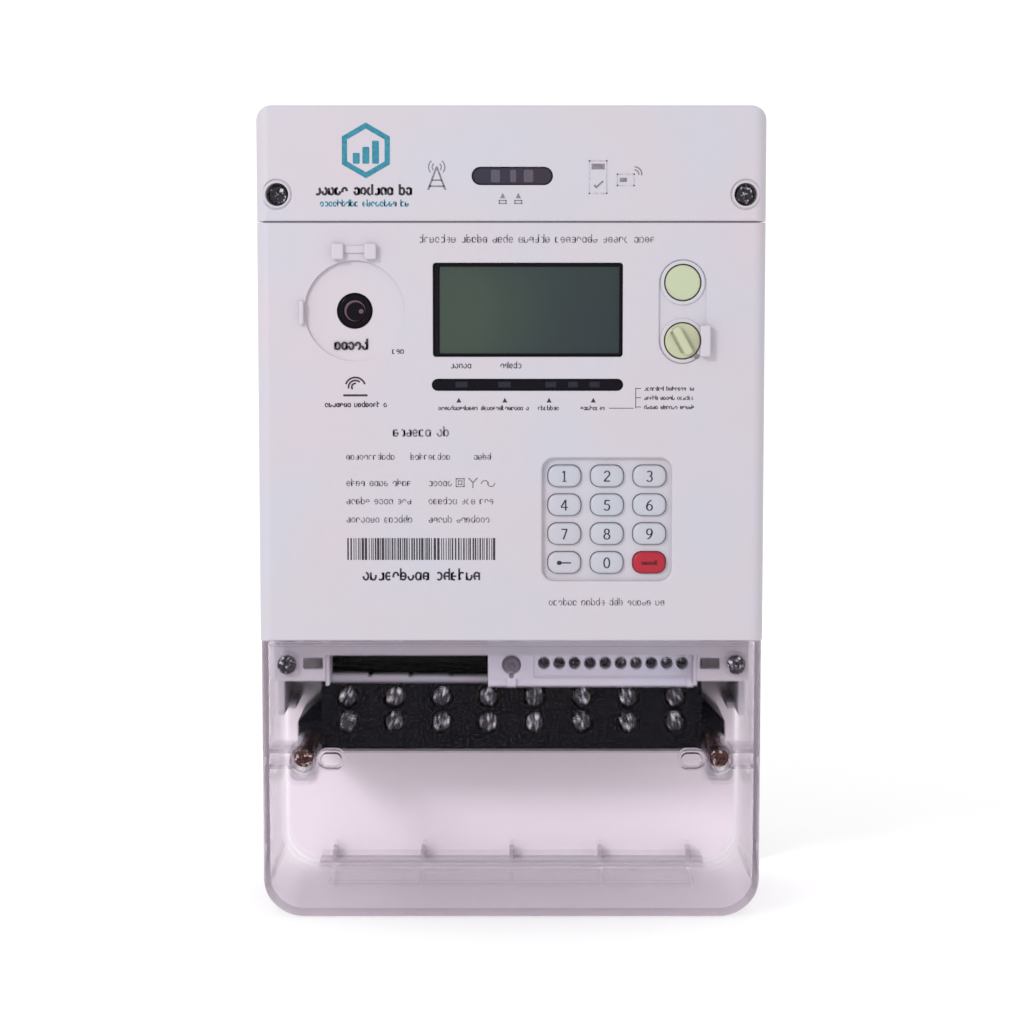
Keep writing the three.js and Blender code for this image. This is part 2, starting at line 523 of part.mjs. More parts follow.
// The part of the reset button that slides but doesn't turn.
function resetPlunger() {
  return pin(BUTTON.x, BUTTON.resetY, BUTTON.flange, FLANGE, 24)
    .add(pin(BUTTON.x, BUTTON.resetY, PIVOT.radius, [FLANGE[1] - 0.2, PIVOT.top], 14));
}

// The blade's angle is measured from +x, as seen from the front.
const BLADE = { length: 10.4, width: 3, height: 3.2, degrees: -61 };

// The cap that turns on the plunger, with the finger blade across it.
function resetKnob() {
  const blade = new THREE.BoxGeometry(BLADE.length, BLADE.width, BLADE.height);
  blade.rotateZ(THREE.MathUtils.degToRad(BLADE.degrees));
  return pin(BUTTON.x, BUTTON.resetY, BUTTON.radius, [FLANGE[1] + 0.4, DEPTH - 0.4], 28)
    .add(solid(blade.translate(BUTTON.x, BUTTON.resetY, DEPTH + 1)))
    .subtract(pin(BUTTON.x, BUTTON.resetY, PIVOT.radius + GAP, [FLANGE[0], PIVOT.top + 0.4], 14));
}

// ---------------------------------------------------------------- header
function headerCover() {
  const bottom = HEADER_SPLIT + GAP / 2;
  const face = rounded([-HALF, HALF], [bottom, TOP], [TOP_CORNER, TOP_CORNER, 0, 0]);
  const inner = TOP_CORNER - WALL;
  const hollow = rounded([WALL - HALF, HALF - WALL], [bottom + WALL, TOP - WALL], [inner, inner, 0, 0]);
  const z0 = BAY_FLOOR + GAP;
  const rise = HEADER_SPLIT + HEADER_SCREW.rise;
  const screwX = HALF - HEADER_SCREW.inset;
  return roundFronted(face, HALF, [bottom, TOP], [z0, DEPTH], EDGE_ROUND)
    .subtract(roundFronted(
      hollow,
      HALF - WALL,
      [bottom + WALL, TOP - WALL],
      [z0 - 9, FRONT_INSIDE],
      EDGE_ROUND - WALL,
    ))
    .add(joined(bothSides((side) => pin(side * screwX, rise, HEADER_SCREW.boss,
      [HEADER_POST_TOP + GAP, FRONT_INSIDE + 0.5], 20))))
    .subtract(joined(bothSides((side) => pin(side * screwX, rise, HEADER_SCREW.shank + 0.4,
      [HEADER_POST_TOP, DEPTH], 14))))
    .subtract(joined(bothSides((side) => pin(side * screwX, rise, HEADER_SCREW.head + 0.6,
      [HEADER_SEAT, DEPTH + 1], 24))))
    .subtract(prism(stadium(HEADER_SLOT.x, HEADER_SLOT_Y, HEADER_SLOT.width, HEADER_SLOT.height),
      [DEPTH - 6, DEPTH + 1], 5));
}

const headerWindow = () => lens(
  stadium(HEADER_SLOT.x, HEADER_SLOT_Y, HEADER_SLOT.width - 2 * GAP, HEADER_SLOT.height - 2 * GAP),
  centred(HEADER_SLOT.x, HEADER_SLOT_Y, HEADER_SLOT.width + 4, HEADER_SLOT.height + 4, 2),
  DEPTH - 0.9,
);

function commModule() {
  return box([-48, 48], [HEADER_SPLIT + 4.5, TOP - 5], [BAY_FLOOR + 0.4, FRONT_INSIDE - LENS_SEAT - 2])
    .add(box([1 - CONNECTOR.half, CONNECTOR.half - 1], [CONNECTOR.bottom, CONNECTOR.top],
      [BAY_FLOOR - 0.7, BAY_FLOOR + 1]));
}

// A cheese-headed screw with a cross recess, its head's underside at z = seat.
function crossScrew(x, y, { head, headHeight, shank }, seat, tip) {
  const top = seat + headHeight;
  const slot = [[2, 0.45], [0.45, 2]].map(([a, b]) => box([x - a, x + a], [y - b, y + b], [top - 1.2, top + 1]));
  return pin(x, y, head, [seat, top], 16)
    .add(pin(x, y, shank, [tip, seat + 0.5], 10))
    .subtract(joined(slot));
}

// ---------------------------------------------------------------- terminal block and its metal
function terminalCentres() {
  return Array.from({ length: TERMINALS }, (_, i) => (i - (TERMINALS - 1) / 2) * TERMINAL_PITCH);
}

// The wings of the block carry the threaded bosses for the terminal cover's screws.
const WING_SLOPE = { rise: 9, setback: 13 }; // the wing's top leans back above its shoulder

function blockWing(side) {
  const outer = SEAL_X + SEAL_BOSS.radius + 1.1;
  const shoulder = BLOCK_TOP - 25;
  const points = [[BLOCK_HALF - 1, BLOCK_BOTTOM], [outer, BLOCK_BOTTOM], [outer, shoulder],
    [Math.max(BLOCK_HALF + 2.1, outer - 6.3), shoulder + 6.6], [BLOCK_HALF - 1, shoulder + 6.6]];
  const front = polygon(side > 0 ? points : points.map(([x, y]) => [-x, y]).reverse());
  const slope = polygon([
    [shoulder, BLOCK_FRONT],
    [shoulder + WING_SLOPE.rise, BLOCK_FRONT - WING_SLOPE.setback],
    [shoulder + WING_SLOPE.rise, BLOCK_FRONT + 1],
    [shoulder, BLOCK_FRONT + 1],
  ]);
  const span = [BLOCK_HALF, outer + 1].map((x) => side * x).sort((a, b) => a - b);
  return prism(front, [BLOCK_BACK, BLOCK_FRONT])
    .subtract(beam(slope, span))
    .add(pin(side * SEAL_X, SEAL_Y, SEAL_BOSS.radius, [BLOCK_FRONT - 5, SEAL_BOSS.top], 20))
    .subtract(pin(side * SEAL_X, SEAL_Y, SEAL.shank + GAP, [SEAL_BOSS.floor, SEAL_BOSS.top + 1], 14));
}

function terminalBlock() {
  const cageBottom = BLOCK_BOTTOM + CAGE.bottom;
  const cageTop = cageBottom + CAGE.height;
  const troughTop = BLOCK_TOP - TROUGH.drop;
  const troughBottom = troughTop - TROUGH.height;
  const troughX = [2.9 - BLOCK_HALF, STRIP.left - GAP];
  const lip = polygon([[troughBottom - TROUGH.lip, BLOCK_FRONT], [troughBottom + 0.1, BLOCK_FRONT - 4],
    [troughBottom + 0.1, BLOCK_FRONT + 1], [troughBottom - TROUGH.lip, BLOCK_FRONT + 1]]);
  const perTerminal = (x) => [
    box(
      [x - CAGE.half - GAP, x + CAGE.half + GAP],
      [cageBottom - GAP, cageTop + GAP],
      [BLOCK_BACK - 1, CAGE.front + GAP],
    ),
    box(
      [x - RISER.half - GAP, x + RISER.half + GAP],
      [cageTop, BLOCK_TOP + 1],
      [BLOCK_BACK - 1, RISER.front + GAP],
    ),
    upright(x, CABLE_AXIS, CABLE_BORE + 0.5, [BLOCK_BOTTOM - 1, cageBottom], 16),
    ...SCREW_ROWS.map((drop) => pin(x, BLOCK_TOP - drop, CLAMP_HOLE, [CAGE.front, BLOCK_FRONT + 1], 16)),
  ];
  return joined([
    box([-BLOCK_HALF, BLOCK_HALF], [BLOCK_BOTTOM, BLOCK_TOP], [BLOCK_BACK, BLOCK_FRONT]),
    ...bothSides(blockWing),
  ])
    .subtract(box(troughX, [troughBottom, troughTop], [TROUGH.floor, BLOCK_FRONT + 1]))
    .subtract(beam(lip, troughX))
    .subtract(joined(terminalCentres().flatMap(perTerminal)));
}

// Two clamp cages and the copper loop that joins them behind the relay.
function conductor(pair) {
  const cageBottom = BLOCK_BOTTOM + CAGE.bottom;
  const cageTop = cageBottom + CAGE.height;
  const linkTop = PARTITION_TOP + 5.3;
  const [first, second] = pair;
  const cages = pair.flatMap((x) => [
    box([x - CAGE.half, x + CAGE.half], [cageBottom, cageTop], [CAGE.back, CAGE.front]),
    box([x - RISER.half, x + RISER.half], [cageTop - 1, linkTop], [RISER.back, RISER.front]),
  ]);
  const holes = pair.flatMap((x) => [
    upright(x, CABLE_AXIS, CABLE_BORE, [cageBottom - 1, cageTop - 3], 16),
    ...SCREW_ROWS.map((drop) => pin(
      x,
      BLOCK_TOP - drop,
      CLAMP_SCREW.shank + GAP,
      [CABLE_AXIS, CAGE.front + 1],
      12,
    )),
  ]);
  return joined([...cages, box([first - RISER.half, second + RISER.half], [PARTITION_TOP + 0.7, linkTop],
    [RISER.back, RISER.front])]).subtract(joined(holes));
}

function relayModule() {
  const bottom = PARTITION_TOP + 5.7;
  const top = MAIN_BOARD.back - 2.5;
  const cases = [-41, 0, 41].map((x) => box([x - 19, x + 19], [bottom, bottom + 34], [BACK_WALL + 0.4, top]));
  return joined([...cases, box([-58, 58], [bottom, bottom + 30], [BACK_WALL + 0.4, top - 6.5])]);
}

function terminalStrip() {
  const bottom = STRIP_TOP - STRIP.height;
  const x = [STRIP.left, STRIP.right];
  const back = BLOCK_FRONT + GAP;
  const aux = Array.from({ length: AUX.count }, (_, i) =>
    pin(AUX.first + i * AUX.pitch, STRIP_TOP - AUX.drop, AUX.radius, [AUX.floor, STRIP.front + 1], 14));
  return box(x, [bottom + STRIP.lip, STRIP_TOP], [back, STRIP.front])
    .add(box(x, [bottom, bottom + STRIP.lip + 0.5], [back, STRIP.front - STRIP.lipStep]))
    .add(box([-1.6, 1.6], [bottom, bottom + STRIP.lip + 0.5], [back, STRIP.front]))
    .subtract(pin(0, SWITCH_Y, SWITCH.radius + GAP, [SWITCH.back - SWITCH.travel - GAP, STRIP.front + 1], 20))
    .subtract(joined(aux));
}

const coverSwitchPlunger = () => pin(0, SWITCH_Y, SWITCH.radius, [SWITCH.back, SWITCH.front - 0.5], 20)
  .add(pin(0, SWITCH_Y, SWITCH.radius - 0.5, [SWITCH.front - 0.6, SWITCH.front], 20));

// ---------------------------------------------------------------- clear terminal cover
function clearShell() {
  const top = TERMINAL_SPLIT - GAP;
  const inner = BOTTOM_CORNER - CLEAR_WALL;
  const face = rounded([-CLEAR_HALF, CLEAR_HALF], [BOTTOM, top], [0, 0, BOTTOM_CORNER, BOTTOM_CORNER]);
  const hollow = rounded([-CLEAR_INSIDE, CLEAR_INSIDE], [BOTTOM + CLEAR_WALL, top + 5], [0, 0, inner, inner]);
  return roundFronted(face, CLEAR_HALF, [BOTTOM, top], [0.5, CLEAR_FRONT], EDGE_ROUND)
    .subtract(roundFronted(hollow, CLEAR_INSIDE, [BOTTOM, top + 5], [-1, CLEAR_FRONT - CLEAR_WALL],
      EDGE_ROUND - CLEAR_WALL));
}

// The tube that a captive screw runs in, its pocket for the sealing wire and the ribs that brace it.
function sealBoss(side) {
  const x = side * SEAL_X;
  const pocket = side * (SEAL_X - WIRE_POCKET.offset);
  const inner = CLEAR_FRONT - CLEAR_WALL + 0.5;
  const wall = side * (CLEAR_INSIDE + 0.5);
  const span = [x + side * (SEAL.ring - 0.8), wall].sort((a, b) => a - b);
  return joined([
    pin(x, SEAL_Y, SEAL.ring, [SEAL_BOSS.top + 0.6, DEPTH], 24),
    prism(
      stadium(pocket, SEAL_Y, WIRE_POCKET.width, WIRE_POCKET.height),
      [CLEAR_FRONT - WIRE_POCKET.depth, DEPTH],
    ),
    box(span, [SEAL_Y + 2, SEAL_Y + 3.4], [58, inner]),
    box(span, [SEAL_Y - 3.4, SEAL_Y - 2], [58, inner]),
  ]);
}

function sealCuts(side) {
  const x = side * SEAL_X;
  const pocket = side * (SEAL_X - WIRE_POCKET.offset);
  const w = WIRE_POCKET.width - 2 * WIRE_POCKET.wall;
  const h = WIRE_POCKET.height - 2 * WIRE_POCKET.wall;
  return joined([
    pin(x, SEAL_Y, SEAL.shank + 0.4, [0, DEPTH + 1], 14),
    pin(x, SEAL_Y, SEAL.head + 0.5, [SEAL_SEAT, DEPTH + 1], 20),
    prism(stadium(pocket, SEAL_Y, w, h), [CLEAR_FRONT - WIRE_POCKET.depth + WIRE_POCKET.wall, DEPTH + 1]),
  ]);
}

// Grooves inside the bottom wall that let its four cable windows be broken out.
function knockoutGrooves() {
  const y = [BOTTOM + CLEAR_WALL - KNOCKOUT.depth, BOTTOM + CLEAR_WALL + 0.5];
  const half = (KNOCKOUT.count * KNOCKOUT.pitch) / 2;
  const lines = Array.from({ length: KNOCKOUT.count + 1 }, (_, i) => {
    const x = -half + i * KNOCKOUT.pitch;
    return box([x - KNOCKOUT.groove / 2, x + KNOCKOUT.groove / 2], y, [KNOCKOUT.far, KNOCKOUT.near]);
  });
  const levels = [KNOCKOUT.near, KNOCKOUT.far].map((z) => box([-half, half], y, [z, z + KNOCKOUT.groove]));
  return joined([...lines, ...levels]);
}

function terminalCover() {
  const presser = pin(0, SWITCH_Y, SWITCH.radius + 0.9, [SWITCH.front + GAP, CLEAR_FRONT - 1], 20)
    .subtract(pin(0, SWITCH_Y, SWITCH.radius - 0.3, [0, CLEAR_FRONT - CLEAR_WALL], 20));
  return joined([clearShell(), presser, ...bothSides(sealBoss)])
    .subtract(joined(bothSides(sealCuts)))
    .subtract(knockoutGrooves());
}

// ---------------------------------------------------------------- the assembly
const COLOURS = {
  housing: 0xd8d3dd,
  rubber: 0x2b2b2e,
  clear: 0xdcd4dc,
  smoke: 0x17151c,
  lcd: 0x46524c,
  board: 0x1f5a38,
  key: 0xc9c8d2,
  red: 0xb42a3a,
  green: 0xc6d3a4,
  black: 0x1d1b21,
  strip: 0xc4c1cd,
  brass: 0xb08d4a,
  steel: 0x9a9aa2,
  grey: 0x6c6874,
};
const METAL = new Set(["brass", "steel"]);

const meter = new THREE.Group();
meter.rotation.x = Math.PI / 2;

function place(name, made, look, x = 0, y = 0) {
  const metalness = METAL.has(look) ? 1 : 0;
  const material = new THREE.MeshStandardMaterial({ color: COLOURS[look], roughness: 0.45, metalness });
  const mesh = new THREE.Mesh(made.isBufferGeometry ? made : geometryOf(made), material);
  mesh.name = name;
  mesh.position.set(x, y, 0);
  meter.add(mesh);
}

place("base_housing", baseHousing(), "housing");
place("hanger_bracket", hangerBracket(), "steel");
place("body_gasket", bodyGasket(), "rubber");
place("front_cover", frontCover(), "housing");
place("lcd_window", lcdWindow(), "clear");
place("led_light_bar", ledLightBar(), "smoke");
place("optical_window", opticalWindow(), "smoke");
place("lcd_module", lcdModule(), "lcd");
place("display_board", displayBoard(), "board");
place("main_board", mainBoard(), "board");
place("keypad_mat", keypadMat(), "rubber");
place("relay_module", relayModule(), "grey");
place("comm_module", commModule(), "grey");

const cap = geometryOf(keyCap());
for (const { name, x, y } of keyPlaces()) place(name, cap, name === "key_enter" ? "red" : "key", x, y);
place("scroll_button", scrollButton(), "green");
place("reset_plunger", resetPlunger(), "green");
place("reset_knob", resetKnob(), "green");

place("header_cover", headerCover(), "housing");
place("header_window", headerWindow(), "smoke");
place("terminal_block", terminalBlock(), "black");
place("terminal_strip", terminalStrip(), "strip");
place("cover_switch_plunger", coverSwitchPlunger(), "grey");
place("terminal_cover", terminalCover(), "clear");

const centres = terminalCentres();
const LOOPS = ["conductor_phase_1", "conductor_phase_2", "conductor_phase_3", "conductor_neutral"];
LOOPS.forEach((name, i) => place(name, conductor([centres[2 * i], centres[2 * i + 1]]), "brass"));

const clampScrew = geometryOf(crossScrew(0, 0, CLAMP_SCREW, CLAMP_SEAT, CLAMP_TIP));
centres.forEach((x, i) => SCREW_ROWS.forEach((drop, row) =>
  place(`terminal_screw_${i + 1}${row ? "b" : "a"}`, clampScrew, "steel", x, BLOCK_TOP - drop)));

for (const [side, label] of [[-1, "left"], [1, "right"]]) {
  const coverX = side * (HALF - COVER_SCREW.inset);
  const coverY = TERMINAL_SPLIT - COVER_SCREW.drop;
  const headerX = side * (HALF - HEADER_SCREW.inset);
  const headerY = HEADER_SPLIT + HEADER_SCREW.rise;
  place(`cover_screw_${label}`, crossScrew(coverX, coverY, COVER_SCREW, SKIRT_FRONT + GAP,
    SKIRT_FRONT + GAP - COVER_SCREW.length), "steel");
  const headerScrew = crossScrew(headerX, headerY, HEADER_SCREW, HEADER_SEAT + GAP, HEADER_TIP);
  const sealScrew = crossScrew(side * SEAL_X, SEAL_Y, SEAL, SEAL_SEAT + GAP, SEAL_TIP);
  place(`header_screw_${label}`, headerScrew, "steel");
  place(`terminal_cover_screw_${label}`, sealScrew, "steel");
}

export default meter;
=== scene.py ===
"""A three-phase keypad prepayment electricity meter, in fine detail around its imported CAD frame.

Lengths are in millimetres in the wall frame: x to the right, z up and t straight out of the
wall, so the front of the meter is at the largest t. at() turns them into the frame's metres,
where the front faces -Y.
"""
import math
import random
from collections import namedtuple

import bmesh
import bpy
from mathutils import Matrix, Vector


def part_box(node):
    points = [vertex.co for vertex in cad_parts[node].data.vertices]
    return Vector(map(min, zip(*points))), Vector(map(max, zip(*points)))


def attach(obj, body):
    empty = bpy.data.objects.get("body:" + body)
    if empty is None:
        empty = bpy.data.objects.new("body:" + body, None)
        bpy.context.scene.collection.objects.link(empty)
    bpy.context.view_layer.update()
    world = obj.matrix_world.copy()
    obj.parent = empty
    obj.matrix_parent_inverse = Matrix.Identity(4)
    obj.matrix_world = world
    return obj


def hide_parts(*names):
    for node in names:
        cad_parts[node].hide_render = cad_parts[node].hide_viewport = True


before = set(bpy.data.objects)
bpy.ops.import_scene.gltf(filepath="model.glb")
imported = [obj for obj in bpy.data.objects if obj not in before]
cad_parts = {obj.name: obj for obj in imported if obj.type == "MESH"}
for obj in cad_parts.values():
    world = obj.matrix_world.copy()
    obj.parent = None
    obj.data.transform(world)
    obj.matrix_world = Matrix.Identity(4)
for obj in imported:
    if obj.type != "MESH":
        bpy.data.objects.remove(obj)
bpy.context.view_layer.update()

MM = 0.001
GAP = 0.3  # between neighbouring pieces, as in the CAD
SIDES = (-1, 1)
ADD, CUT, KEEP = "UNION", "DIFFERENCE", "INTERSECT"
scene = bpy.context.scene


# ---- places from the frame
Place = namedtuple("Place", "x0 x1 z0 z1 t0 t1 x z w h")


def at(x, z, t):
    return Vector((x, -t, z)) * MM


def place(node):
    """Where a CAD node lies: its limits, its middle and its size."""
    low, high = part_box(node)
    x0, x1, z0, z1 = low.x / MM, high.x / MM, low.z / MM, high.z / MM
    t0, t1 = -high.y / MM, -low.y / MM
    return Place(x0, x1, z0, z1, t0, t1, (x0 + x1) / 2, (z0 + z1) / 2, x1 - x0, z1 - z0)


base, header, clear = place("base_housing"), place("header_cover"), place("terminal_cover")
HALF, TOP, BOTTOM = base.x1, base.z1, clear.z0
DEPTH = header.t1
JOINT = place("front_cover").t0  # back edge of the front cover
HEADER_SPLIT = header.z0 - GAP / 2
TERMINAL_SPLIT = clear.z1 + GAP
WALL = 2.5  # of the case
CLEAR_WALL = 2.4  # of the clear cover
PLATE = 3  # thickness of the base's back plate
TOP_CORNER, BOTTOM_CORNER, EDGE_ROUND = 5.5, 14, 4.5
INNER_CORNER = TOP_CORNER - WALL
TONGUE = clear.x1 - CLEAR_WALL - 0.4  # half width of what stands inside the clear cover
PARTITION = TERMINAL_SPLIT - 7.7  # underside of the case's lower edge
SKIRT = DEPTH - 19  # front of the strip of case under the clear cover
TERMINAL_PITCH, BAY_PITCH = 16.5, 32.3  # between conductors, and between cable grooves
BAYS = (-2, -1, 0, 1, 2)
SQUARE = 0.02  # the radius of a corner that is left square
KEY_ROUND = 3.1
BUTTON_HOLE = 6.25  # radius


# ---- outlines and solids
class Shape(namedtuple("Shape", "x z w h r")):
    """A rounded rectangle; r is one radius, or four from the top left clockwise."""

    def grown(self, d):
        radii = self.r if isinstance(self.r, tuple) else (self.r,) * 4
        grown = tuple(max(q + d, SQUARE) for q in radii)
        return Shape(self.x, self.z, self.w + 2 * d, self.h + 2 * d, grown)

    def points(self, steps):
        tl, tr, br, bl = self.grown(0).r
        x0, x1 = self.x - self.w / 2, self.x + self.w / 2
        z0, z1 = self.z - self.h / 2, self.z + self.h / 2
        corners = [
            (x1 - br, z0 + br, br, 3), (x1 - tr, z1 - tr, tr, 0),
            (x0 + tl, z1 - tl, tl, 1), (x0 + bl, z0 + bl, bl, 2),
        ]
        made = []
        for cx, cz, q, k in corners:
            for i in range(steps + 1):
                turn = (k + i / steps) * math.pi / 2
                made.append((cx + q * math.cos(turn), cz + q * math.sin(turn)))
        return made


def span(x0, x1, z0, z1, r=SQUARE):
    return Shape((x0 + x1) / 2, (z0 + z1) / 2, x1 - x0, z1 - z0, r)


def disc(x, z, radius):
    return Shape(x, z, 2 * radius, 2 * radius, radius - 0.01)


def pill(x, z, w, h):
    return Shape(x, z, w, h, min(w, h) / 2 - 0.01)


AXES = {"t": at, "z": lambda a, b, c: at(a, c, b), "x": lambda a, b, c: at(c, a, b)}


def loft(levels, axis="t", name="tool"):
    """A closed solid through outlines stacked along an axis: t out of the wall, z upwards or x across."""
    made = bmesh.new()
    rings = [[made.verts.new(AXES[axis](a, b, c)) for a, b in points] for points, c in levels]
    count = len(rings[0])
    for low, high in zip(rings, rings[1:]):
        for i in range(count):
            j = (i + 1) % count
            made.faces.new((low[i], low[j], high[j], high[i]))
    made.faces.new(rings[0])
    made.faces.new(rings[-1])
    bmesh.ops.recalc_face_normals(made, faces=made.faces)
    return from_bmesh(made, name)


def from_bmesh(made, name):
    mesh = bpy.data.meshes.new(name)
    made.to_mesh(mesh)
    made.free()
    piece = bpy.data.objects.new(name, mesh)
    scene.collection.objects.link(piece)
    return piece


ARC = 4  # steps in a rounded edge


def arc(radius):
    """(inset, rise) along a quarter circle, from a side wall round to the face."""
    turns = [i / ARC * math.pi / 2 for i in range(ARC + 1)]
    return [(radius * (1 - math.cos(a)), radius * math.sin(a)) for a in turns]


def rounded_foot(shape, t0, radius, steps):
    """The first levels of a solid, rounded where it stands at t0."""
    if not radius:
        return [(shape.points(steps), t0)]
    return [(shape.grown(-i).points(steps), t0 + radius - s) for i, s in reversed(arc(radius))]


def slab(shape, t0, t1, edge=0.0, foot=0.0, axis="t", steps=6):
    """A solid with this outline; edge rounds its far rim and foot its near one."""
    levels = rounded_foot(shape, t0, foot, steps)
    if edge:
        levels += [(shape.grown(-i).points(steps), t1 - edge + s) for i, s in arc(edge)]
    else:
        levels.append((shape.points(steps), t1))
    return loft(levels, axis)


def pit(shape, floor, mouth, lip=0.0, fillet=0.0, steps=8):
    """A tool that cuts a hole down to floor, with a rounded lip at mouth and a fillet round its floor."""
    levels = rounded_foot(shape, floor, fillet, steps)
    if lip:
        levels += [(shape.grown(i).points(steps), mouth - lip + s) for i, s in arc(lip)]
    return loft([*levels, (shape.grown(lip).points(steps), mouth + 3)])


def block(x0, x1, z0, z1, t0, t1, edge=0.0):
    """A box between these limits, in either order across x."""
    x0, x1 = sorted((x0, x1))
    outline = span(x0, x1, z0, z1, max(edge, SQUARE))
    return slab(outline, t0, t1, edge, steps=3 if edge else 1)


def rib(x, half, z0, z1, t0, t1, edge=0.0):
    """A block that reaches half its width to each side of x."""
    return block(x - half, x + half, z0, z1, t0, t1, edge)


def carve(piece, *steps):
    """Applies (ADD or CUT or KEEP, tools) in order, and removes the tools."""
    tools = []
    for operation, made in steps:
        for tool in made:
            step = piece.modifiers.new("step", "BOOLEAN")
            step.operation, step.object, step.solver = operation, tool, "MANIFOLD"
            tools.append(tool)
    bake(piece)
    for tool in tools:
        bpy.data.objects.remove(tool)
    return piece


def bake(piece):
    graph = bpy.context.evaluated_depsgraph_get()
    piece.data = bpy.data.meshes.new_from_object(piece.evaluated_get(graph))
    piece.modifiers.clear()


def join(name, pieces):
    """One object from several closed bodies, each keeping its own material."""
    first = pieces[0]
    with bpy.context.temp_override(
        active_object=first, selected_editable_objects=pieces, object=first
    ):
        bpy.ops.object.join()
    first.name = name
    return first


def smooth(piece, degrees=32):
    """Shades rounded edges smooth and keeps flat faces flat."""
    mesh = piece.data
    made = bmesh.new()
    made.from_mesh(mesh)
    bmesh.ops.remove_doubles(made, verts=made.verts, dist=2e-6)
    bmesh.ops.dissolve_degenerate(made, dist=1e-6, edges=made.edges)
    made.to_mesh(mesh)
    made.free()
    mesh.polygons.foreach_set("use_smooth", [True] * len(mesh.polygons))
    mesh.set_sharp_from_angle(angle=math.radians(degrees))
    weigh = piece.modifiers.new("weigh", "WEIGHTED_NORMAL")
    weigh.keep_sharp, weigh.weight = True, 100
    bake(piece)
    return piece


def show(piece, name, body, material, replaces=(), shade=32):
    """Finishes a piece: its shading, material, body and the CAD nodes that it stands for."""
    piece.name = piece.data.name = name
    if shade:
        smooth(piece, shade)
        piece.data.name = name
    piece.data.materials.clear()
    piece.data.materials.append(material)
    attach(piece, body)
    if replaces:
        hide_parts(*replaces)
    return piece


# ---- materials
def srgb(*rgb):
    """A linear colour from its 0 to 255 sRGB values."""
    linear = (c / 255 / 12.92 if c <= 10 else ((c / 255 + 0.055) / 1.055) ** 2.4 for c in rgb)
    return tuple(linear) + (1.0,)


class Finish:
    """A procedural material: a Principled shader whose inputs are fed by small node chains."""

    def __init__(self, name, colour, roughness, **inputs):
        self.material = bpy.data.materials.new(name)
        self.material.use_nodes = True
        self.tree = self.material.node_tree
        self.shader = self.tree.nodes["Principled BSDF"]
        self.shader.inputs["Base Color"].default_value = colour
        self.shader.inputs["Roughness"].default_value = roughness
        self.colour = colour
        for key, value in inputs.items():
            self.shader.inputs[key.replace("_", " ")].default_value = value

    def node(self, kind, **settings):
        made = self.tree.nodes.new("ShaderNode" + kind)
        for key, value in settings.items():
            if hasattr(made, key):
                setattr(made, key, value)
            else:
                made.inputs[key].default_value = value
        return made

    def link(self, source, target):
        self.tree.links.new(source, target)

    def place(self, scale=(1, 1, 1)):
        """The object's own coordinates, which are the frame's metres."""
        if not hasattr(self, "coordinates"):
            self.coordinates = self.node("TexCoord").outputs["Object"]
        mapping = self.node("Mapping", Scale=scale)
        self.link(self.coordinates, mapping.inputs["Vector"])
        return mapping.outputs["Vector"]

    def noise(self, scale, detail=3.0, stretch=(1, 1, 1), roughness=0.55):
        made = self.node("TexNoise", Scale=scale, Detail=detail, Roughness=roughness)
        self.link(self.place(stretch), made.inputs["Vector"])
        return made.outputs["Fac"]

    def remap(self, value, low, high, start=0.3, end=0.7):
        limits = {"From Min": start, "From Max": end, "To Min": low, "To Max": high}
        made = self.node("MapRange", **limits)
        self.link(value, made.inputs["Value"])
        return made.outputs["Result"]

    def cable_space(self):
        """The mask of the painted light on the base: 1 on the front skin of the back plate below the main
        case, and 0 elsewhere.
        """
        axes, both = self.node("SeparateXYZ"), self.node("Math", operation="MULTIPLY")
        skin = self.node("Math", operation="COMPARE")
        self.link(self.place(), axes.inputs[0])
        edge, blur = TERMINAL_SPLIT / 1000, 0.0004
        self.link(self.remap(axes.outputs["Z"], 1, 0, edge - blur, edge + blur), both.inputs[0])
        self.link(axes.outputs["Y"], skin.inputs[0])
        skin.inputs[1].default_value = -PLATE / 1000
        skin.inputs[2].default_value = 0.001
        self.link(skin.outputs[0], both.inputs[1])
        return both.outputs[0]

    def tint(self, factor, other):
        """Mixes the base colour towards another by a factor."""
        made = self.node("Mix", data_type="RGBA")
        made.inputs[6].default_value = self.colour
        made.inputs[7].default_value = other
        self.link(factor, made.inputs[0])
        if self.shader.inputs["Base Color"].is_linked:
            self.link(self.shader.inputs["Base Color"].links[0].from_socket, made.inputs[6])
        self.link(made.outputs[2], self.shader.inputs["Base Color"])

    def rough(self, factor):
        self.link(factor, self.shader.inputs["Roughness"])

    def bump(self, height, strength, distance=0.0002):
        made = self.node("Bump", Strength=strength, Distance=distance)
        self.link(height, made.inputs["Height"])
        if self.shader.inputs["Normal"].is_linked:
            self.link(self.shader.inputs["Normal"].links[0].from_socket, made.inputs["Normal"])
        self.link(made.outputs["Normal"], self.shader.inputs["Normal"])


def scaled(colour, *gains):
    return tuple(c * k for c, k in zip(colour[:3], gains)) + (1.0,)


def moulded(name, colour, roughness=0.42, mottle=0.035, grain=0.06, painted_light=None, **inputs):
    """Moulded plastic: faint cool and warm drifts of colour, an uneven sheen, a fine eroded grain and,
    where asked, painted light on the back plate.
    """
    made = Finish(name, colour, roughness, **inputs)
    warm = scaled(colour, 1 + mottle, 1 - mottle * 0.4, 1 - mottle * 0.2)
    cool = scaled(colour, 1 - mottle, 1 + mottle * 0.3, 1 + mottle)
    made.tint(made.remap(made.noise(22, 2.0), 0.0, 1.0), warm)
    made.tint(made.remap(made.noise(34, 2.0, roughness=0.4), 0.0, 0.9, 0.42, 0.7), cool)
    # Painted light: the back plate's skin under the main case is painted lighter, for the light that the
    # case, terminal block and clear cover keep off it.
    if painted_light:
        made.tint(made.cable_space(), painted_light)
    made.rough(made.remap(made.noise(260, 4.0), roughness - 0.06, roughness + 0.08))
    made.bump(made.noise(3200, 2.0), grain, 0.0001)
    return made.material


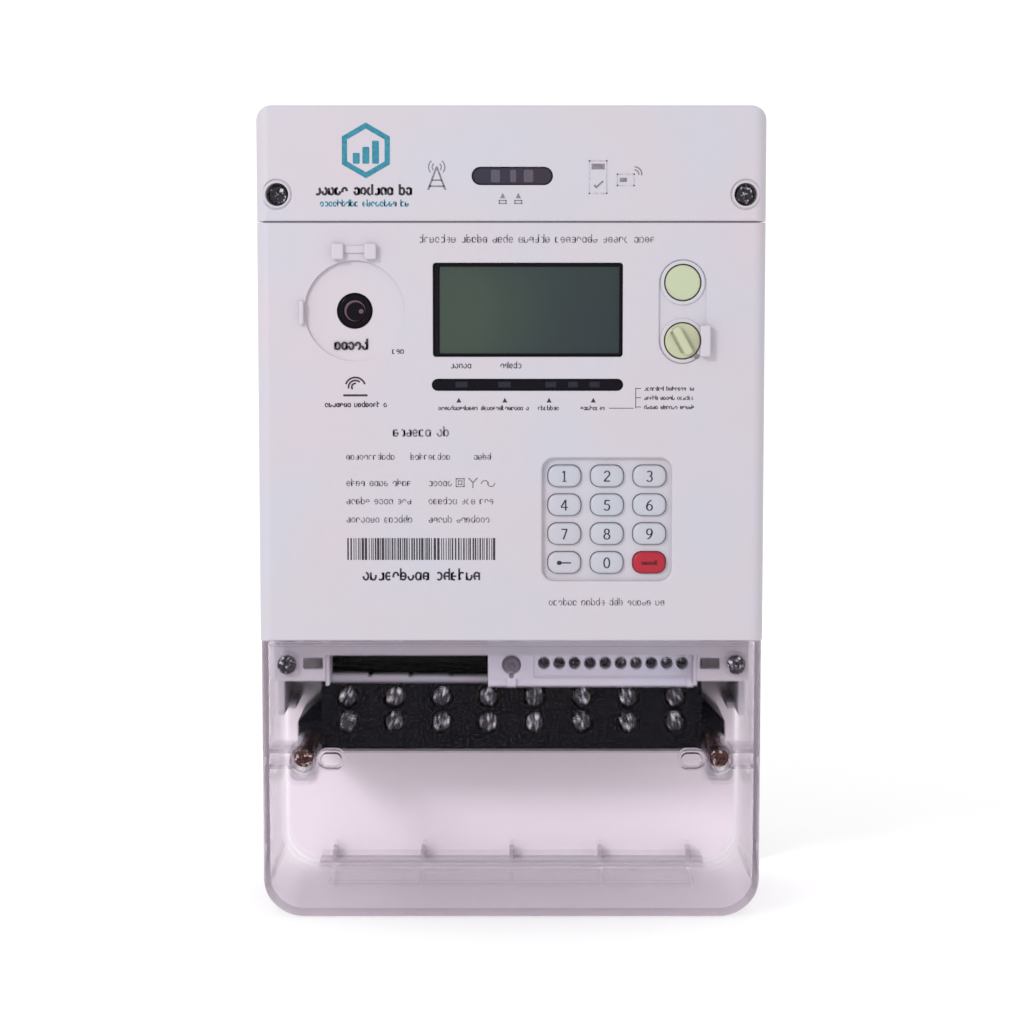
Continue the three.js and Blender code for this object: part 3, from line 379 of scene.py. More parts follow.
def metal(name, colour, roughness, wear=0.25, glint=None):
    """Plated metal with dull patches, darker tarnish and, where asked, painted glints: small bright
    patches of colour that stand in for highlights.
    """
    made = Finish(name, colour, roughness, Metallic=1.0)
    dull = scaled(colour, 0.45, 0.45, 0.45)
    made.tint(made.remap(made.noise(420, 5.0), 0.0, wear * 2, 0.45, 0.75), dull)
    if glint:
        # Painted highlight: small near-white patches in the base colour stand in for glints of light on
        # the head.
        made.tint(made.remap(made.noise(620, 2.0), 0.0, 0.9, 0.56, 0.66), glint)
    made.rough(made.remap(made.noise(900, 3.0), roughness - 0.08, roughness + 0.2))
    made.bump(made.noise(1500, 3.0), 0.25, 0.0001)
    return made.material


def clear_plastic():
    """Clear polycarbonate with a faint lilac cast and flow marks, which lets light straight in."""
    made = Finish("clear_polycarbonate", srgb(251, 248, 251), 0.03, IOR=1.12)
    made.shader.inputs["Transmission Weight"].default_value = 1.0
    made.rough(made.remap(made.noise(120, 4.0), 0.01, 0.06))
    made.bump(made.noise(14, 2.0), 0.05, 0.001)
    light, through = made.node("LightPath"), made.node("BsdfTransparent", Color=srgb(253, 252, 253))
    surface = made.shader.outputs[0]
    for source in (None, light.outputs["Is Shadow Ray"], light.outputs["Is Diffuse Ray"]):
        mix = made.node("MixShader")
        mix.inputs[0].default_value = 0.35
        if source:
            made.link(source, mix.inputs[0])
        made.link(surface, mix.inputs[1])
        made.link(through.outputs[0], mix.inputs[2])
        surface = mix.outputs[0]
    output = made.tree.nodes["Material Output"]
    made.link(surface, output.inputs["Surface"])
    depth = made.node("VolumeAbsorption", Color=(0.38, 0.28, 0.38, 1.0), Density=32.0)
    made.link(depth.outputs[0], output.inputs["Volume"])
    return made.material


def screen_glass():
    """The display's grey-green liquid crystal, uneven and a little darker towards one corner."""
    made = Finish("liquid_crystal", srgb(60, 72, 62), 0.24, Specular_IOR_Level=0.12)
    made.tint(made.remap(made.noise(16, 1.0), 0.0, 1.0), srgb(50, 58, 60))
    drift = made.node("SeparateXYZ")
    made.link(made.place(), drift.inputs[0])
    made.tint(made.remap(drift.outputs["X"], 0.0, 0.8, -0.01, 0.045), srgb(40, 47, 50))
    made.bump(made.noise(2600, 1.0), 0.02, 0.0001)
    return made.material


def ink(name, colour):
    """Matt printing ink, worn paler in specks."""
    made = Finish(name, colour, 0.55, Specular_IOR_Level=0.2)
    worn = tuple(min(1, c * 1.9 + 0.03) for c in colour[:3]) + (1.0,)
    made.tint(made.remap(made.noise(900, 3.0), 0.0, 0.5), worn)
    made.bump(made.noise(2500, 2.0), 0.1, 0.00005)
    return made.material


WHITE = moulded("case_plastic", srgb(177, 172, 180))
# The lighter colour on the base's back plate below the main case is painted light.
BASE_PLASTIC = moulded("base_plastic", srgb(177, 172, 180), painted_light=srgb(243, 236, 242))
STRIP = moulded("strip_plastic", srgb(200, 199, 210), 0.45)
LEDGE = moulded("ledge_plastic", srgb(172, 169, 178), 0.5)
KEYCAP = moulded("key_plastic", srgb(167, 166, 175), 0.38, grain=0.04)
RED = moulded("red_plastic", srgb(156, 24, 42), 0.34, mottle=0.12, Specular_IOR_Level=0.3)
GREEN = moulded("green_plastic", srgb(168, 173, 144), 0.4, mottle=0.06)
BLACK = moulded("black_thermoset", srgb(10, 9, 15), 0.34, mottle=0.15, grain=0.1, Specular_IOR_Level=0.07)
FRAME_BLACK = moulded("bezel_black", srgb(12, 11, 18), 0.3, mottle=0.1, grain=0.03, Specular_IOR_Level=0.1)
GREY = moulded("grey_plastic", srgb(104, 99, 112), 0.5, mottle=0.06, grain=0.12)
MODULE = moulded("module_plastic", srgb(92, 90, 98), 0.5)
RUBBER = moulded("silicone_rubber", srgb(52, 51, 55), 0.7, grain=0.2)
LENS = moulded("smoked_lens", srgb(11, 9, 16), 0.12, mottle=0.2, grain=0.01, Specular_IOR_Level=0.1)
SMOKE = moulded("smoked_window", srgb(52, 45, 55), 0.16, mottle=0.1, grain=0.01, Specular_IOR_Level=0.15)
# Lamp lens colour, also used on the optical port for a painted highlight ring and spot.
LAMP = moulded("lamp_lens", srgb(84, 74, 84), 0.3, mottle=0.2, Specular_IOR_Level=0.15)
LAMP_DIM = moulded("lamp_lens_dim", srgb(33, 31, 41), 0.3, mottle=0.2, Specular_IOR_Level=0.15)
LCD = screen_glass()
CLEAR = clear_plastic()
STEEL = metal("zinc_plate", srgb(150, 148, 154), 0.34)
# The glint colours of these screws are painted highlights.
SCREW = metal("nickel_plate", srgb(62, 60, 66), 0.22, wear=0.3, glint=srgb(225, 222, 228))
BRONZE = metal("yellow_passivate", srgb(74, 52, 52), 0.26, wear=0.5, glint=srgb(190, 164, 160))
BRASS = metal("terminal_brass", srgb(176, 146, 92), 0.35)
BOARD = moulded("solder_mask", srgb(26, 84, 50), 0.3)
INK = ink("grey_ink", srgb(104, 97, 106))
DARK_INK = ink("dark_ink", srgb(40, 36, 42))
FAINT_INK = ink("faint_ink", srgb(150, 143, 152))
TEAL_INK = ink("teal_ink", srgb(36, 104, 122))
RED_INK = ink("red_ink", srgb(80, 2, 10))


# ---- case
def case_block(shape, half, t0, t1, edge, corner=EDGE_ROUND):
    """A block with this front outline whose upright front edges are rounded."""
    section = Shape(0, (t0 + t1) / 2, 2 * half, t1 - t0, (corner, corner, SQUARE, SQUARE))
    low, high = shape.z - shape.h / 2 - 1, shape.z + shape.h / 2 + 1
    plan = slab(section, low, high, axis="z", steps=10)
    return carve(slab(shape, t0, t1, edge, steps=12), (KEEP, [plan]))


def make_base():
    joint, low = JOINT - GAP, TERMINAL_SPLIT
    case = span(-HALF, HALF, low, TOP, (TOP_CORNER, TOP_CORNER, SQUARE, SQUARE))
    inside = span(WALL - HALF, HALF - WALL, low + WALL, TOP - WALL, (INNER_CORNER, INNER_CORNER, 0.3, 0.3))
    corner = BOTTOM_CORNER - CLEAR_WALL
    plate = span(-TONGUE, TONGUE, base.z0, low + 1, (SQUARE, SQUARE, corner, corner))
    hanger, screw = place("hanger_bracket"), place("cover_screw_left")
    pocket, post = hanger.w / 2 + GAP, abs(screw.x)
    web_x = HALF - 4.3
    slot_x, slot_z = HALF - 8.6, -97.5  # the lower wall screws
    foot = base.z0 + 0.2
    tongue = [
        slab(plate, 0, PLATE, 0.3, 0.3, steps=12),
        block(-TONGUE, TONGUE, PARTITION, low + 1, 0, joint),
        *[rib(i * BAY_PITCH, 0.8, foot, base.z0 + 6, 1, 9, 0.4) for i in BAYS],
        block(WALL * 6 - HALF, HALF - WALL * 6, foot, base.z0 + 2, 1, 9, 0.3),
        *[rib(s * web_x, 1.2, low - 31, low - 14, 1, 44, 0.4) for s in SIDES],
        *[block(s * 76.6, s * 81.6, low - 31, low - 28.6, 1, 30, 0.5) for s in SIDES],
    ]
    posts = [slab(disc(s * post, screw.z, 3.4), 1, base.t1, 0.3, steps=10) for s in SIDES]
    pads = [slab(Shape(s * slot_x, slot_z, 10.5, 14, 3), 1, 4, 0.3) for s in SIDES]
    boss = rib(0, pocket + WALL, hanger.z0 - WALL - GAP, TOP - 2, 1, 5.9)
    entry = TERMINAL_PITCH / 5  # half the width of each conductor's way in
    return carve(
        slab(case, 0, joint, foot=0.8, steps=12),
        (CUT, [slab(inside, PLATE, joint + 9)]),
        (ADD, [*tongue, *posts, *pads, boss]),
        (CUT, [
            rib(0, TONGUE - WALL, PARTITION + WALL, low + WALL + 0.1, PLATE, joint + 1),
            *[rib((i - 3.5) * TERMINAL_PITCH, entry, PARTITION - 1, PARTITION + WALL + 1, 17.9, joint + 1)
              for i in range(8)],
            rib(0, pocket, hanger.z0 - GAP, TOP + 1, 1.2, 3.4),
            rib(0, 11, hanger.z0 - GAP, TOP + 1, -1, 2),
            *[pit(disc(s * post, screw.z, 1.8), 36, base.t1, 0.2) for s in SIDES],
            *[slab(pill(s * slot_x, slot_z, 5.5, 9), -1, 6) for s in SIDES],
        ]),
    )


def keys():
    """Each key's node name and place, from the frame."""
    return {name: place(name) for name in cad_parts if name.startswith("key_")}


def probe_seat(x, z):
    """The shallow seat for the reading head, deepest at its upper left."""
    radius, depth = 16.8, 1.3
    tool = slab(disc(0, 0, radius), 0, 6, steps=20)
    lean = Matrix.Rotation(math.atan(-depth / 2 / radius), 4, Vector((1, 0, 1)).normalized())
    tool.data.transform(Matrix.Translation(at(x, z, DEPTH - depth / 2)) @ lean)
    return tool


def make_front_cover():
    main = span(-HALF, HALF, TERMINAL_SPLIT, HEADER_SPLIT - GAP / 2)
    bay_floor = header.t0 - GAP
    lcd, led, eye = place("lcd_window"), place("led_light_bar"), place("optical_window")
    scroll, knob = place("scroll_button"), place("reset_knob")
    screw, top_screw = place("cover_screw_left"), place("header_screw_left")
    post, top_post = abs(screw.x), abs(top_screw.x)
    pad = keys()
    px, pz = (pad["key_1"].x + pad["key_3"].x) / 2, (pad["key_1"].z + pad["key_0"].z) / 2
    low = TERMINAL_SPLIT - 16.7  # lower end of the legs beside the terminals
    back = JOINT - 5
    inside, ceiling = HALF - WALL, DEPTH - WALL
    section = Shape(0, (back + ceiling) / 2, 2 * inside, ceiling - back, (2, 2, SQUARE, SQUARE))
    hollow = slab(section, TERMINAL_SPLIT + WALL, HEADER_SPLIT - WALL - 0.1, axis="z")
    raised = [
        (Shape(eye.x - 5.5, eye.z + 19.7, 4.1, 5.4, 0.8), 2.3, 0.7),
        (Shape(eye.x + 5.4, eye.z + 19.7, 4.1, 5.4, 0.8), 2.3, 0.7),
        (Shape(eye.x, eye.z + 20.4, 8, 2.6, 0.5), 0.7, 0.5),
        (Shape(eye.x - 17.7, eye.z - 0.6, 1.6, 8.2, 0.7), 1.6, 0.6),
        (Shape(knob.x + 7.5, knob.z, 3.6, 10.6, 0.9), 3.2, 0.7),
    ]
    lugs = [slab(shape, DEPTH - 1, DEPTH + rise, edge) for shape, rise, edge in raised]
    buttons = (knob.z, scroll.z)
    collars = [slab(disc(knob.x, z, 7.5), DEPTH - 2, DEPTH - 0.2, 0.45, steps=10) for z in buttons]
    top = span(-HALF, HALF, HEADER_SPLIT - 1, TOP, (TOP_CORNER, TOP_CORNER, SQUARE, SQUARE))
    shelves = [
        slab(top, JOINT, bay_floor, steps=12),
        slab(span(-TONGUE, TONGUE, PARTITION, TERMINAL_SPLIT + 1, 0.3), JOINT, SKIRT, 0.3),
        *[block(s * (HALF - 21), s * TONGUE, low, PARTITION + 0.5, JOINT + 5, SKIRT, 0.35) for s in SIDES],
        *[rib(s * (HALF - 21.6), 0.7, low - 1.6, PARTITION, JOINT + 5, SKIRT - 0.4, 0.3) for s in SIDES],
        *[slab(disc(s * post, screw.z, 4.4), SKIRT - 3, SKIRT + 0.35, 0.3, steps=8) for s in SIDES],
        rib(px, 24.2, pz - 23.2, pz + 23.2, DEPTH - 3.5, DEPTH - 1),
        *[slab(disc(s * top_post, top_screw.z, 3.6), bay_floor - WALL, DEPTH - 18, 0.3) for s in SIDES],
        slab(disc(eye.x, eye.z, 7.3), DEPTH - 3, DEPTH - 0.7, 0.3, steps=12),
    ]
    top_inside = span(WALL - HALF, HALF - WALL, HEADER_SPLIT - 4, TOP - WALL,
                      (INNER_CORNER, INNER_CORNER, SQUARE, SQUARE))
    openings = [
        probe_seat(eye.x, eye.z),
        pit(Shape(lcd.x, lcd.z, lcd.w - 4.2, lcd.h - 4.2, 1), DEPTH - 6, DEPTH, 0.35),
        pit(pill(led.x, led.z, led.w - 4, led.h - 4), DEPTH - 6, DEPTH, 0.3),
        pit(pill(knob.x, sum(buttons) / 2, 15.7, 34.7), DEPTH - 0.8, DEPTH, 0.45, 0.3),
        pit(Shape(px, pz, 43.4, 41.4, 4), DEPTH - 2, DEPTH, 0.8, 0.3),
        slab(top_inside, JOINT - 1, bay_floor - WALL),
        rib(0, TONGUE - WALL, PARTITION + WALL, TERMINAL_SPLIT + WALL + 0.1, JOINT - 1, SKIRT - 2.2),
        rib(0, 16, TOP - 26, TOP - 18, JOINT, bay_floor + 1),
    ]
    seals = [Shape(s * (HALF - 16.6), TERMINAL_SPLIT - 10.5, 6.8, 3.8, 0.5) for s in SIDES]
    holes = [
        pit(disc(eye.x, eye.z, eye.w / 2 - 1.5), DEPTH - 6, DEPTH - 0.7, 0.25, steps=12),
        *[pit(disc(knob.x, z, BUTTON_HOLE), DEPTH - 6, DEPTH - 0.2, 0.2, steps=12) for z in buttons],
        slab(disc(knob.x, knob.z, BUTTON_HOLE), DEPTH - 1, DEPTH + 9, steps=12),
        block(knob.x, knob.x + 20, knob.z - 0.7, knob.z + 0.7, DEPTH + 1.2, DEPTH + 2.6),
        slab(disc(knob.x + 4.8, knob.z - 5.2, 0.9), DEPTH - 1.4, DEPTH + 1),
        *[pit(Shape(k.x, k.z, k.w - 1.3, k.h - 1.3, KEY_ROUND), DEPTH - 6, DEPTH - 2, 0.2)
          for k in pad.values()],
        *[slab(disc(s * top_post, top_screw.z, 2), 47, DEPTH - 17) for s in SIDES],
        *[slab(disc(s * post, screw.z, 3.8), JOINT - 1, SKIRT - 2.2) for s in SIDES],
        *[pit(disc(s * post, screw.z, 1.9), SKIRT - 5, SKIRT + 0.35, 0.2) for s in SIDES],
        *[pit(seal, SKIRT - 5, SKIRT, 0.25) for seal in seals],
        *[block(s * (HALF - 19.4), s * (TONGUE - 1.6), low + 1.6, PARTITION, JOINT, SKIRT - 2.2)
          for s in SIDES],
    ]
    return carve(
        case_block(main, HALF, JOINT, DEPTH, 0.7),
        (CUT, [hollow]),
        (ADD, shelves),
        (CUT, openings),
        (ADD, [*collars, *lugs]),
        (CUT, holes),
    )


def make_header():
    slot, screw = place("header_window"), place("header_screw_left")
    shape = span(-HALF, HALF, header.z0, TOP, (TOP_CORNER, TOP_CORNER, 0.3, 0.3))
    hollow = span(WALL - HALF, HALF - WALL, header.z0 + WALL, TOP - WALL,
                  (INNER_CORNER, INNER_CORNER, 0.3, 0.3))

    def around(radius):
        return [disc(s * abs(screw.x), screw.z, radius) for s in SIDES]

    return carve(
        case_block(shape, HALF, header.t0, DEPTH, 0.9),
        (CUT, [case_block(hollow, HALF - WALL, header.t0 - 9, DEPTH - WALL, 0.3, 2)]),
        (ADD, [slab(d, DEPTH - 17.7, DEPTH - WALL + 0.5, steps=10) for d in around(4.6)]),
        (CUT, [pit(d, DEPTH - 0.55, DEPTH, 0.5, 0.2, steps=14) for d in around(5)]),
        (ADD, [slab(d, DEPTH - 2, DEPTH - 0.05, 0.4, steps=14) for d in around(4.6)]),
        (CUT, [slab(d, DEPTH - 20, DEPTH) for d in around(2.1)]),
        (CUT, [pit(d, DEPTH - 8, DEPTH, 0.35, steps=12) for d in around(3.8)]),
        (CUT, [pit(pill(slot.x, slot.z, slot.w - 4, slot.h - 4), DEPTH - 6, DEPTH, 0.3)]),
    )


# ---- windows
def lens(piece, name, material, replaces=()):
    show(piece, name, "meter", material, replaces)


def make_windows():
    lcd, panel = place("lcd_window"), place("lcd_module")
    pane = Shape(lcd.x, lcd.z, lcd.w - 4.8, lcd.h - 4.8, 0.9)
    x, z = pane.x + 0.55, pane.z - 0.1
    opening = Shape(x, z, pane.w - 2.3, pane.h - 1.4, 0.5)
    bezel = carve(
        slab(pane, DEPTH - 2.6, DEPTH - 1.2, 0.25),
        (ADD, [slab(pane.grown(2.2), lcd.t0, DEPTH - 2.8)]),
        (CUT, [pit(opening, lcd.t0 - 1, DEPTH - 1.2, 0.25)]),
    )
    lens(bezel, "display_bezel", FRAME_BLACK, ["lcd_window"])
    glass = slab(Shape(x, z, pane.w - 2.4, pane.h - 1.5, 0.4), lcd.t0 + 0.1, DEPTH - 1.7, 0.3)
    show(glass, "display_glass", "meter", LCD)
    tray = carve(
        slab(span(panel.x0, panel.x1, panel.z0, panel.z1, 1.5), panel.t0, panel.t1 - 1.1, 0.4),
        (ADD, [slab(Shape(lcd.x, lcd.z, 62, 30, 0.5), panel.t0 + 1, panel.t1, 0.2)]),
    )
    show(tray, "display_module", "meter", MODULE, ["lcd_module"])

    led = place("led_light_bar")
    nose = pill(led.x, led.z, led.w - 4.6, led.h - 4.6)
    bar = carve(
        slab(nose, led.t0, DEPTH - 0.45, 0.3),
        (ADD, [slab(Shape(led.x, led.z, led.w, led.h, 1.5), led.t0, led.t0 + 1.5)]),
    )
    lens(bar, "lamp_bar", LENS, ["led_light_bar"])
    lamps = [slab(Shape(led.x + dx, led.z + 0.1, w, 1.9, 0.3), DEPTH - 0.8, DEPTH - 0.4, 0.05)
             for dx, w in ((-22.1, 4), (-7.7, 4.2), (7.8, 3.6), (15.2, 3.2), (22.4, 3.4))]
    lens(join("lamps", lamps), "lamp_windows", LAMP_DIM)

    eye = place("optical_window")
    window = carve(
        slab(disc(eye.x, eye.z, eye.w / 2 - 2.1), eye.t0, DEPTH - 1.1, 0.35, steps=14),
        (ADD, [slab(disc(eye.x, eye.z, eye.w / 2 - 0.1), eye.t0, eye.t0 + 1.5, steps=12)]),
        (CUT, [pit(disc(eye.x, eye.z, 3.9), DEPTH - 1.7, DEPTH - 1.1, 0.1, 0.4, steps=14)]),
    )
    lens(window, "optical_eye", LENS, ["optical_window"])
    # Painted highlight: a lighter ring round the dark pupil, widest at the upper left where the pupil is
    # set off from it, stands in for light caught inside the port.
    rim = slab(disc(eye.x, eye.z, 3.6), DEPTH - 1.9, DEPTH - 1.5, 0.3, steps=14)
    lens(rim, "optical_painted_highlight", LAMP)
    pupil = slab(disc(eye.x + 0.3, eye.z - 0.25, 3.1), DEPTH - 1.8, DEPTH - 1.35, 0.1, steps=14)
    lens(pupil, "optical_pupil", LENS)
    # A diode behind the window, in the lighter lamp-lens colour, so that it is also a painted highlight:
    # the bright spot right of the middle of the port.
    diode_and_highlight = slab(disc(eye.x + 2.1, eye.z - 0.2, 0.8), DEPTH - 1.5, DEPTH - 1.25, 0.1, steps=8)
    lens(diode_and_highlight, "optical_diode", LAMP)

    slot = place("header_window")
    strip = carve(
        slab(pill(slot.x, slot.z, slot.w - 4.6, slot.h - 4.6), slot.t0, DEPTH - 0.8, 0.3),
        (ADD, [slab(Shape(slot.x, slot.z, slot.w, slot.h, 2), slot.t0, slot.t0 + 1.5)]),
    )
    show(strip, "header_lens", "header", SMOKE, ["header_window"])
    glow = [slab(Shape(slot.x + dx, slot.z, w, 4.2, 0.6), DEPTH - 1.1, DEPTH - 0.75, 0.05)
            for dx, w in ((-5.6, 3.0), (0.3, 2.0), (5.4, 3.2))]
    show(join("glow", glow), "header_lamps", "header", LAMP)


# ---- pen strokes and printing
def oval(x, z, rx, rz, start, end, steps=14):
    turns = [math.radians(start + (end - start) * i / steps) for i in range(steps + 1)]
    return [(x + rx * math.cos(a), z + rz * math.sin(a)) for a in turns]


def stroke(path, thin, thick):
    """The outline a broad pen leaves along a path: thick on uprights, thin on levels."""
    left, right = [], []
    for i, (x, z) in enumerate(path):
        (ax, az), (bx, bz) = path[max(i - 1, 0)], path[min(i + 1, len(path) - 1)]
        dx, dz = bx - ax, bz - az
        length = math.hypot(dx, dz) or 1
        half = (thin + (thick - thin) * abs(dz) / length) / 2
        left.append((x - dz / length * half, z + dx / length * half))
        right.append((x + dz / length * half, z - dx / length * half))
    return left + right[::-1]


class Print:
    """Thin films of ink on a flat face, joined into one piece."""

    def __init__(self, face=DEPTH, depth=0.04):
        self.films, self.face, self.depth = [], face, depth

    def patch(self, x, z, w, h, r=0.05):
        outline = Shape(x, z, w, h, min(r, w / 2 - 0.01, h / 2 - 0.01))
        self.films.append(slab(outline, self.face, self.face + self.depth, steps=3))

    def shape(self, points):
        self.films.append(loft([(points, self.face), (points, self.face + self.depth)]))

    def glyph(self, x, z, *points):
        self.shape([(x + a, z + b) for a, b in points])

    def frame(self, x, z, w, h, line):
        for side in (-1, 1):
            self.patch(x + side * (w - line) / 2, z, line, h)
            self.patch(x, z + side * (h - line) / 2, w, line)

    def arch(self, x, z, radius, line, low, high):
        self.shape(stroke(oval(x, z, radius, radius, low, high, 10), line, line))

    def words(self, x0, x1, z, height, seed, letters=(3, 7), weight=0.11):
        """A line of meaningless curled marks that has the grey of small print."""
        chance = random.Random(seed)
        step, x, line = height * 0.6, x0, height * weight
        left = chance.randint(*letters)
        while x + step * 0.8 <= x1:
            if left == 0:
                x += step * 0.8
                left = chance.randint(*letters)
                continue
            middle, wide, low = x + step * 0.4, step * 0.34, z - height * 0.12
            start = chance.choice((0, 45, 90, 180, 225, 270))
            end = start + chance.choice((200, 270, 330))
            self.shape(stroke(oval(middle, low, wide, height * 0.3, start, end, 9), line, line * 1.2))
            side = chance.choice((-1, 1, 0))
            if side:
                tall = chance.choice((0.62, 0.62, 0.95))
                foot = z - height * 0.44
                self.patch(middle + side * wide, foot + tall * height / 2, line * 1.1, tall * height)
            if chance.random() < 0.35:
                self.patch(middle, low, wide * 1.7, line * 0.9)
            x += step
            left -= 1

    def done(self, name, body, material):
        return show(join(name, self.films), name, body, material, shade=0)


# ---- keys and buttons
def dished(shape, t0, t1, edge, rise, steps=8):
    """A slab whose far face swells gently by rise towards its middle."""
    levels = [(shape.points(steps), t0)]
    levels += [(shape.grown(-i).points(steps), t1 - edge + s) for i, s in arc(edge)]
    inner = shape.grown(-edge)
    reach = min(inner.w, inner.h) / 2 - 0.15
    for k in (0.3, 0.6, 0.85, 1.0):
        levels.append((inner.grown(-reach * k).points(steps), t1 + rise * (1 - (1 - k) ** 2)))
    return loft(levels)


def make_keys():
    for name, k in keys().items():
        cap = carve(
            dished(Shape(k.x, k.z, k.w - 1.6, k.h - 1.6, KEY_ROUND), k.t0 + 1, k.t1 - 0.25, 0.8, 0.22),
            (ADD, [slab(Shape(k.x, k.z, k.w, k.h, 3), k.t0, k.t0 + 1.2)]),
        )
        slot, plastic, print_ink = "grey_key", KEYCAP, DARK_INK
        if name == "key_enter":
            slot, plastic, print_ink = "red_key", RED, RED_INK
        show(cap, name + "_cap", name, plastic, [name], shade=50)
        legend = make_legend(name.removeprefix("key_"), k)
        show(legend, name + "_legend", name, print_ink, shade=0)


DIGITS = {  # strokes in a box one unit tall, and level or upright bars as (x, z, w, h)
    "0": ([oval(0, 0, 0.25, 0.46, 90, 449, 24)], []),
    "1": ([[(-0.18, 0.34), (-0.02, 0.44)]], [(0, 0, 0.13, 0.96), (0, -0.46, 0.38, 0.06)]),
    "2": ([oval(0, 0.22, 0.23, 0.25, 165, -30) + [(-0.26, -0.42)]], [(0, -0.44, 0.54, 0.1)]),
    "3": ([oval(-0.02, 0.24, 0.21, 0.23, 150, -90), oval(-0.03, -0.22, 0.25, 0.25, 90, -150)], []),
    "4": ([[(0.1, 0.46), (-0.29, -0.18)]], [(0, -0.2, 0.64, 0.08), (0.12, 0, 0.13, 0.96)]),
    "5": ([[(-0.15, 0.44), (-0.2, 0.06)], oval(-0.03, -0.18, 0.26, 0.28, 120, -145)],
          [(0.04, 0.43, 0.42, 0.1)]),
    "6": ([oval(0, -0.2, 0.24, 0.27, 90, 449, 20), oval(0.28, -0.22, 0.53, 0.68, 100, 180, 8)], []),
    "7": ([[(0.24, 0.42), (-0.08, -0.48)]], [(0, 0.43, 0.54, 0.1)]),
    "8": ([oval(0, 0.24, 0.2, 0.22, 90, 449, 20), oval(0, -0.23, 0.25, 0.24, 90, 449, 20)], []),
}
DIGITS["9"] = ([[(-x, -z) for x, z in path] for path in DIGITS["6"][0]], [])


def make_legend(word, k):
    """The digit or arrow printed on a key, as a thin raised film."""
    thick, size = 0.13, 3.7
    film = Print(k.t1 - thick, thick)
    if word == "back":
        film.patch(k.x - 1.7, k.z, 1.6, 1.4, 0.6)
        film.patch(k.x + 0.4, k.z, 3.8, 0.45)
    elif word == "enter":
        film.glyph(k.x, k.z, (-2.7, -0.7), (2.7, -0.7), (2.7, 0.9), (1.8, 0.9), (1.8, 0.4), (-2.7, 0.4))
    else:
        paths, bars = DIGITS[word]
        for path in paths:
            film.shape(stroke([(k.x + x * size, k.z + z * size) for x, z in path], 0.24, 0.52))
        for x, z, w, h in bars:
            film.patch(k.x + x * size, k.z + z * size, w * size, h * size, 0.02)
    return join("legend", film.films)


def make_buttons():
    scroll = place("scroll_button")
    face = carve(
        dished(disc(scroll.x, scroll.z, 5.9), scroll.t0 + 1, scroll.t1 - 0.1, 0.55, 0.08, steps=14),
        (ADD, [slab(disc(scroll.x, scroll.z, scroll.w / 2), scroll.t0, scroll.t0 + 1.4, steps=12)]),
    )
    show(face, "scroll_cap", "scroll_button", GREEN, ["scroll_button"], shade=50)
    plunger = place("reset_plunger")
    stem = carve(
        slab(disc(plunger.x, plunger.z, plunger.w / 2), plunger.t0, plunger.t0 + 1.4, 0.2, steps=12),
        (ADD, [slab(disc(plunger.x, plunger.z, 2.2), plunger.t0 + 1, plunger.t1, 0.3, steps=8)]),
    )
    show(stem, "reset_stem", "reset_button", GREEN, ["reset_plunger"])
    knob = place("reset_knob")
    top = DEPTH - 0.4
    rest_angle = math.radians(61)
    blade = slab(Shape(0, 0, 10.3, 3.0, 1.1), top - 0.5, knob.t1, 0.8)
    groove = slab(Shape(-0.4, -1.75, 8.2, 1.1, 0.5), top - 0.7, top + 1)
    turn = Matrix.Translation(at(knob.x, knob.z, 0)) @ Matrix.Rotation(rest_angle, 4, "Y")
    blade.data.transform(turn)
    groove.data.transform(turn)
    cap = carve(
        dished(disc(knob.x, knob.z, 5.9), knob.t0, top, 0.5, 0.0, steps=14),
        (CUT, [groove, slab(disc(knob.x, knob.z, 2.5), knob.t0 - 1, plunger.t1 + 0.4, steps=8)]),
        (ADD, [blade]),
    )
    show(cap, "reset_cap", "reset_knob", GREEN, ["reset_knob"], shade=50)


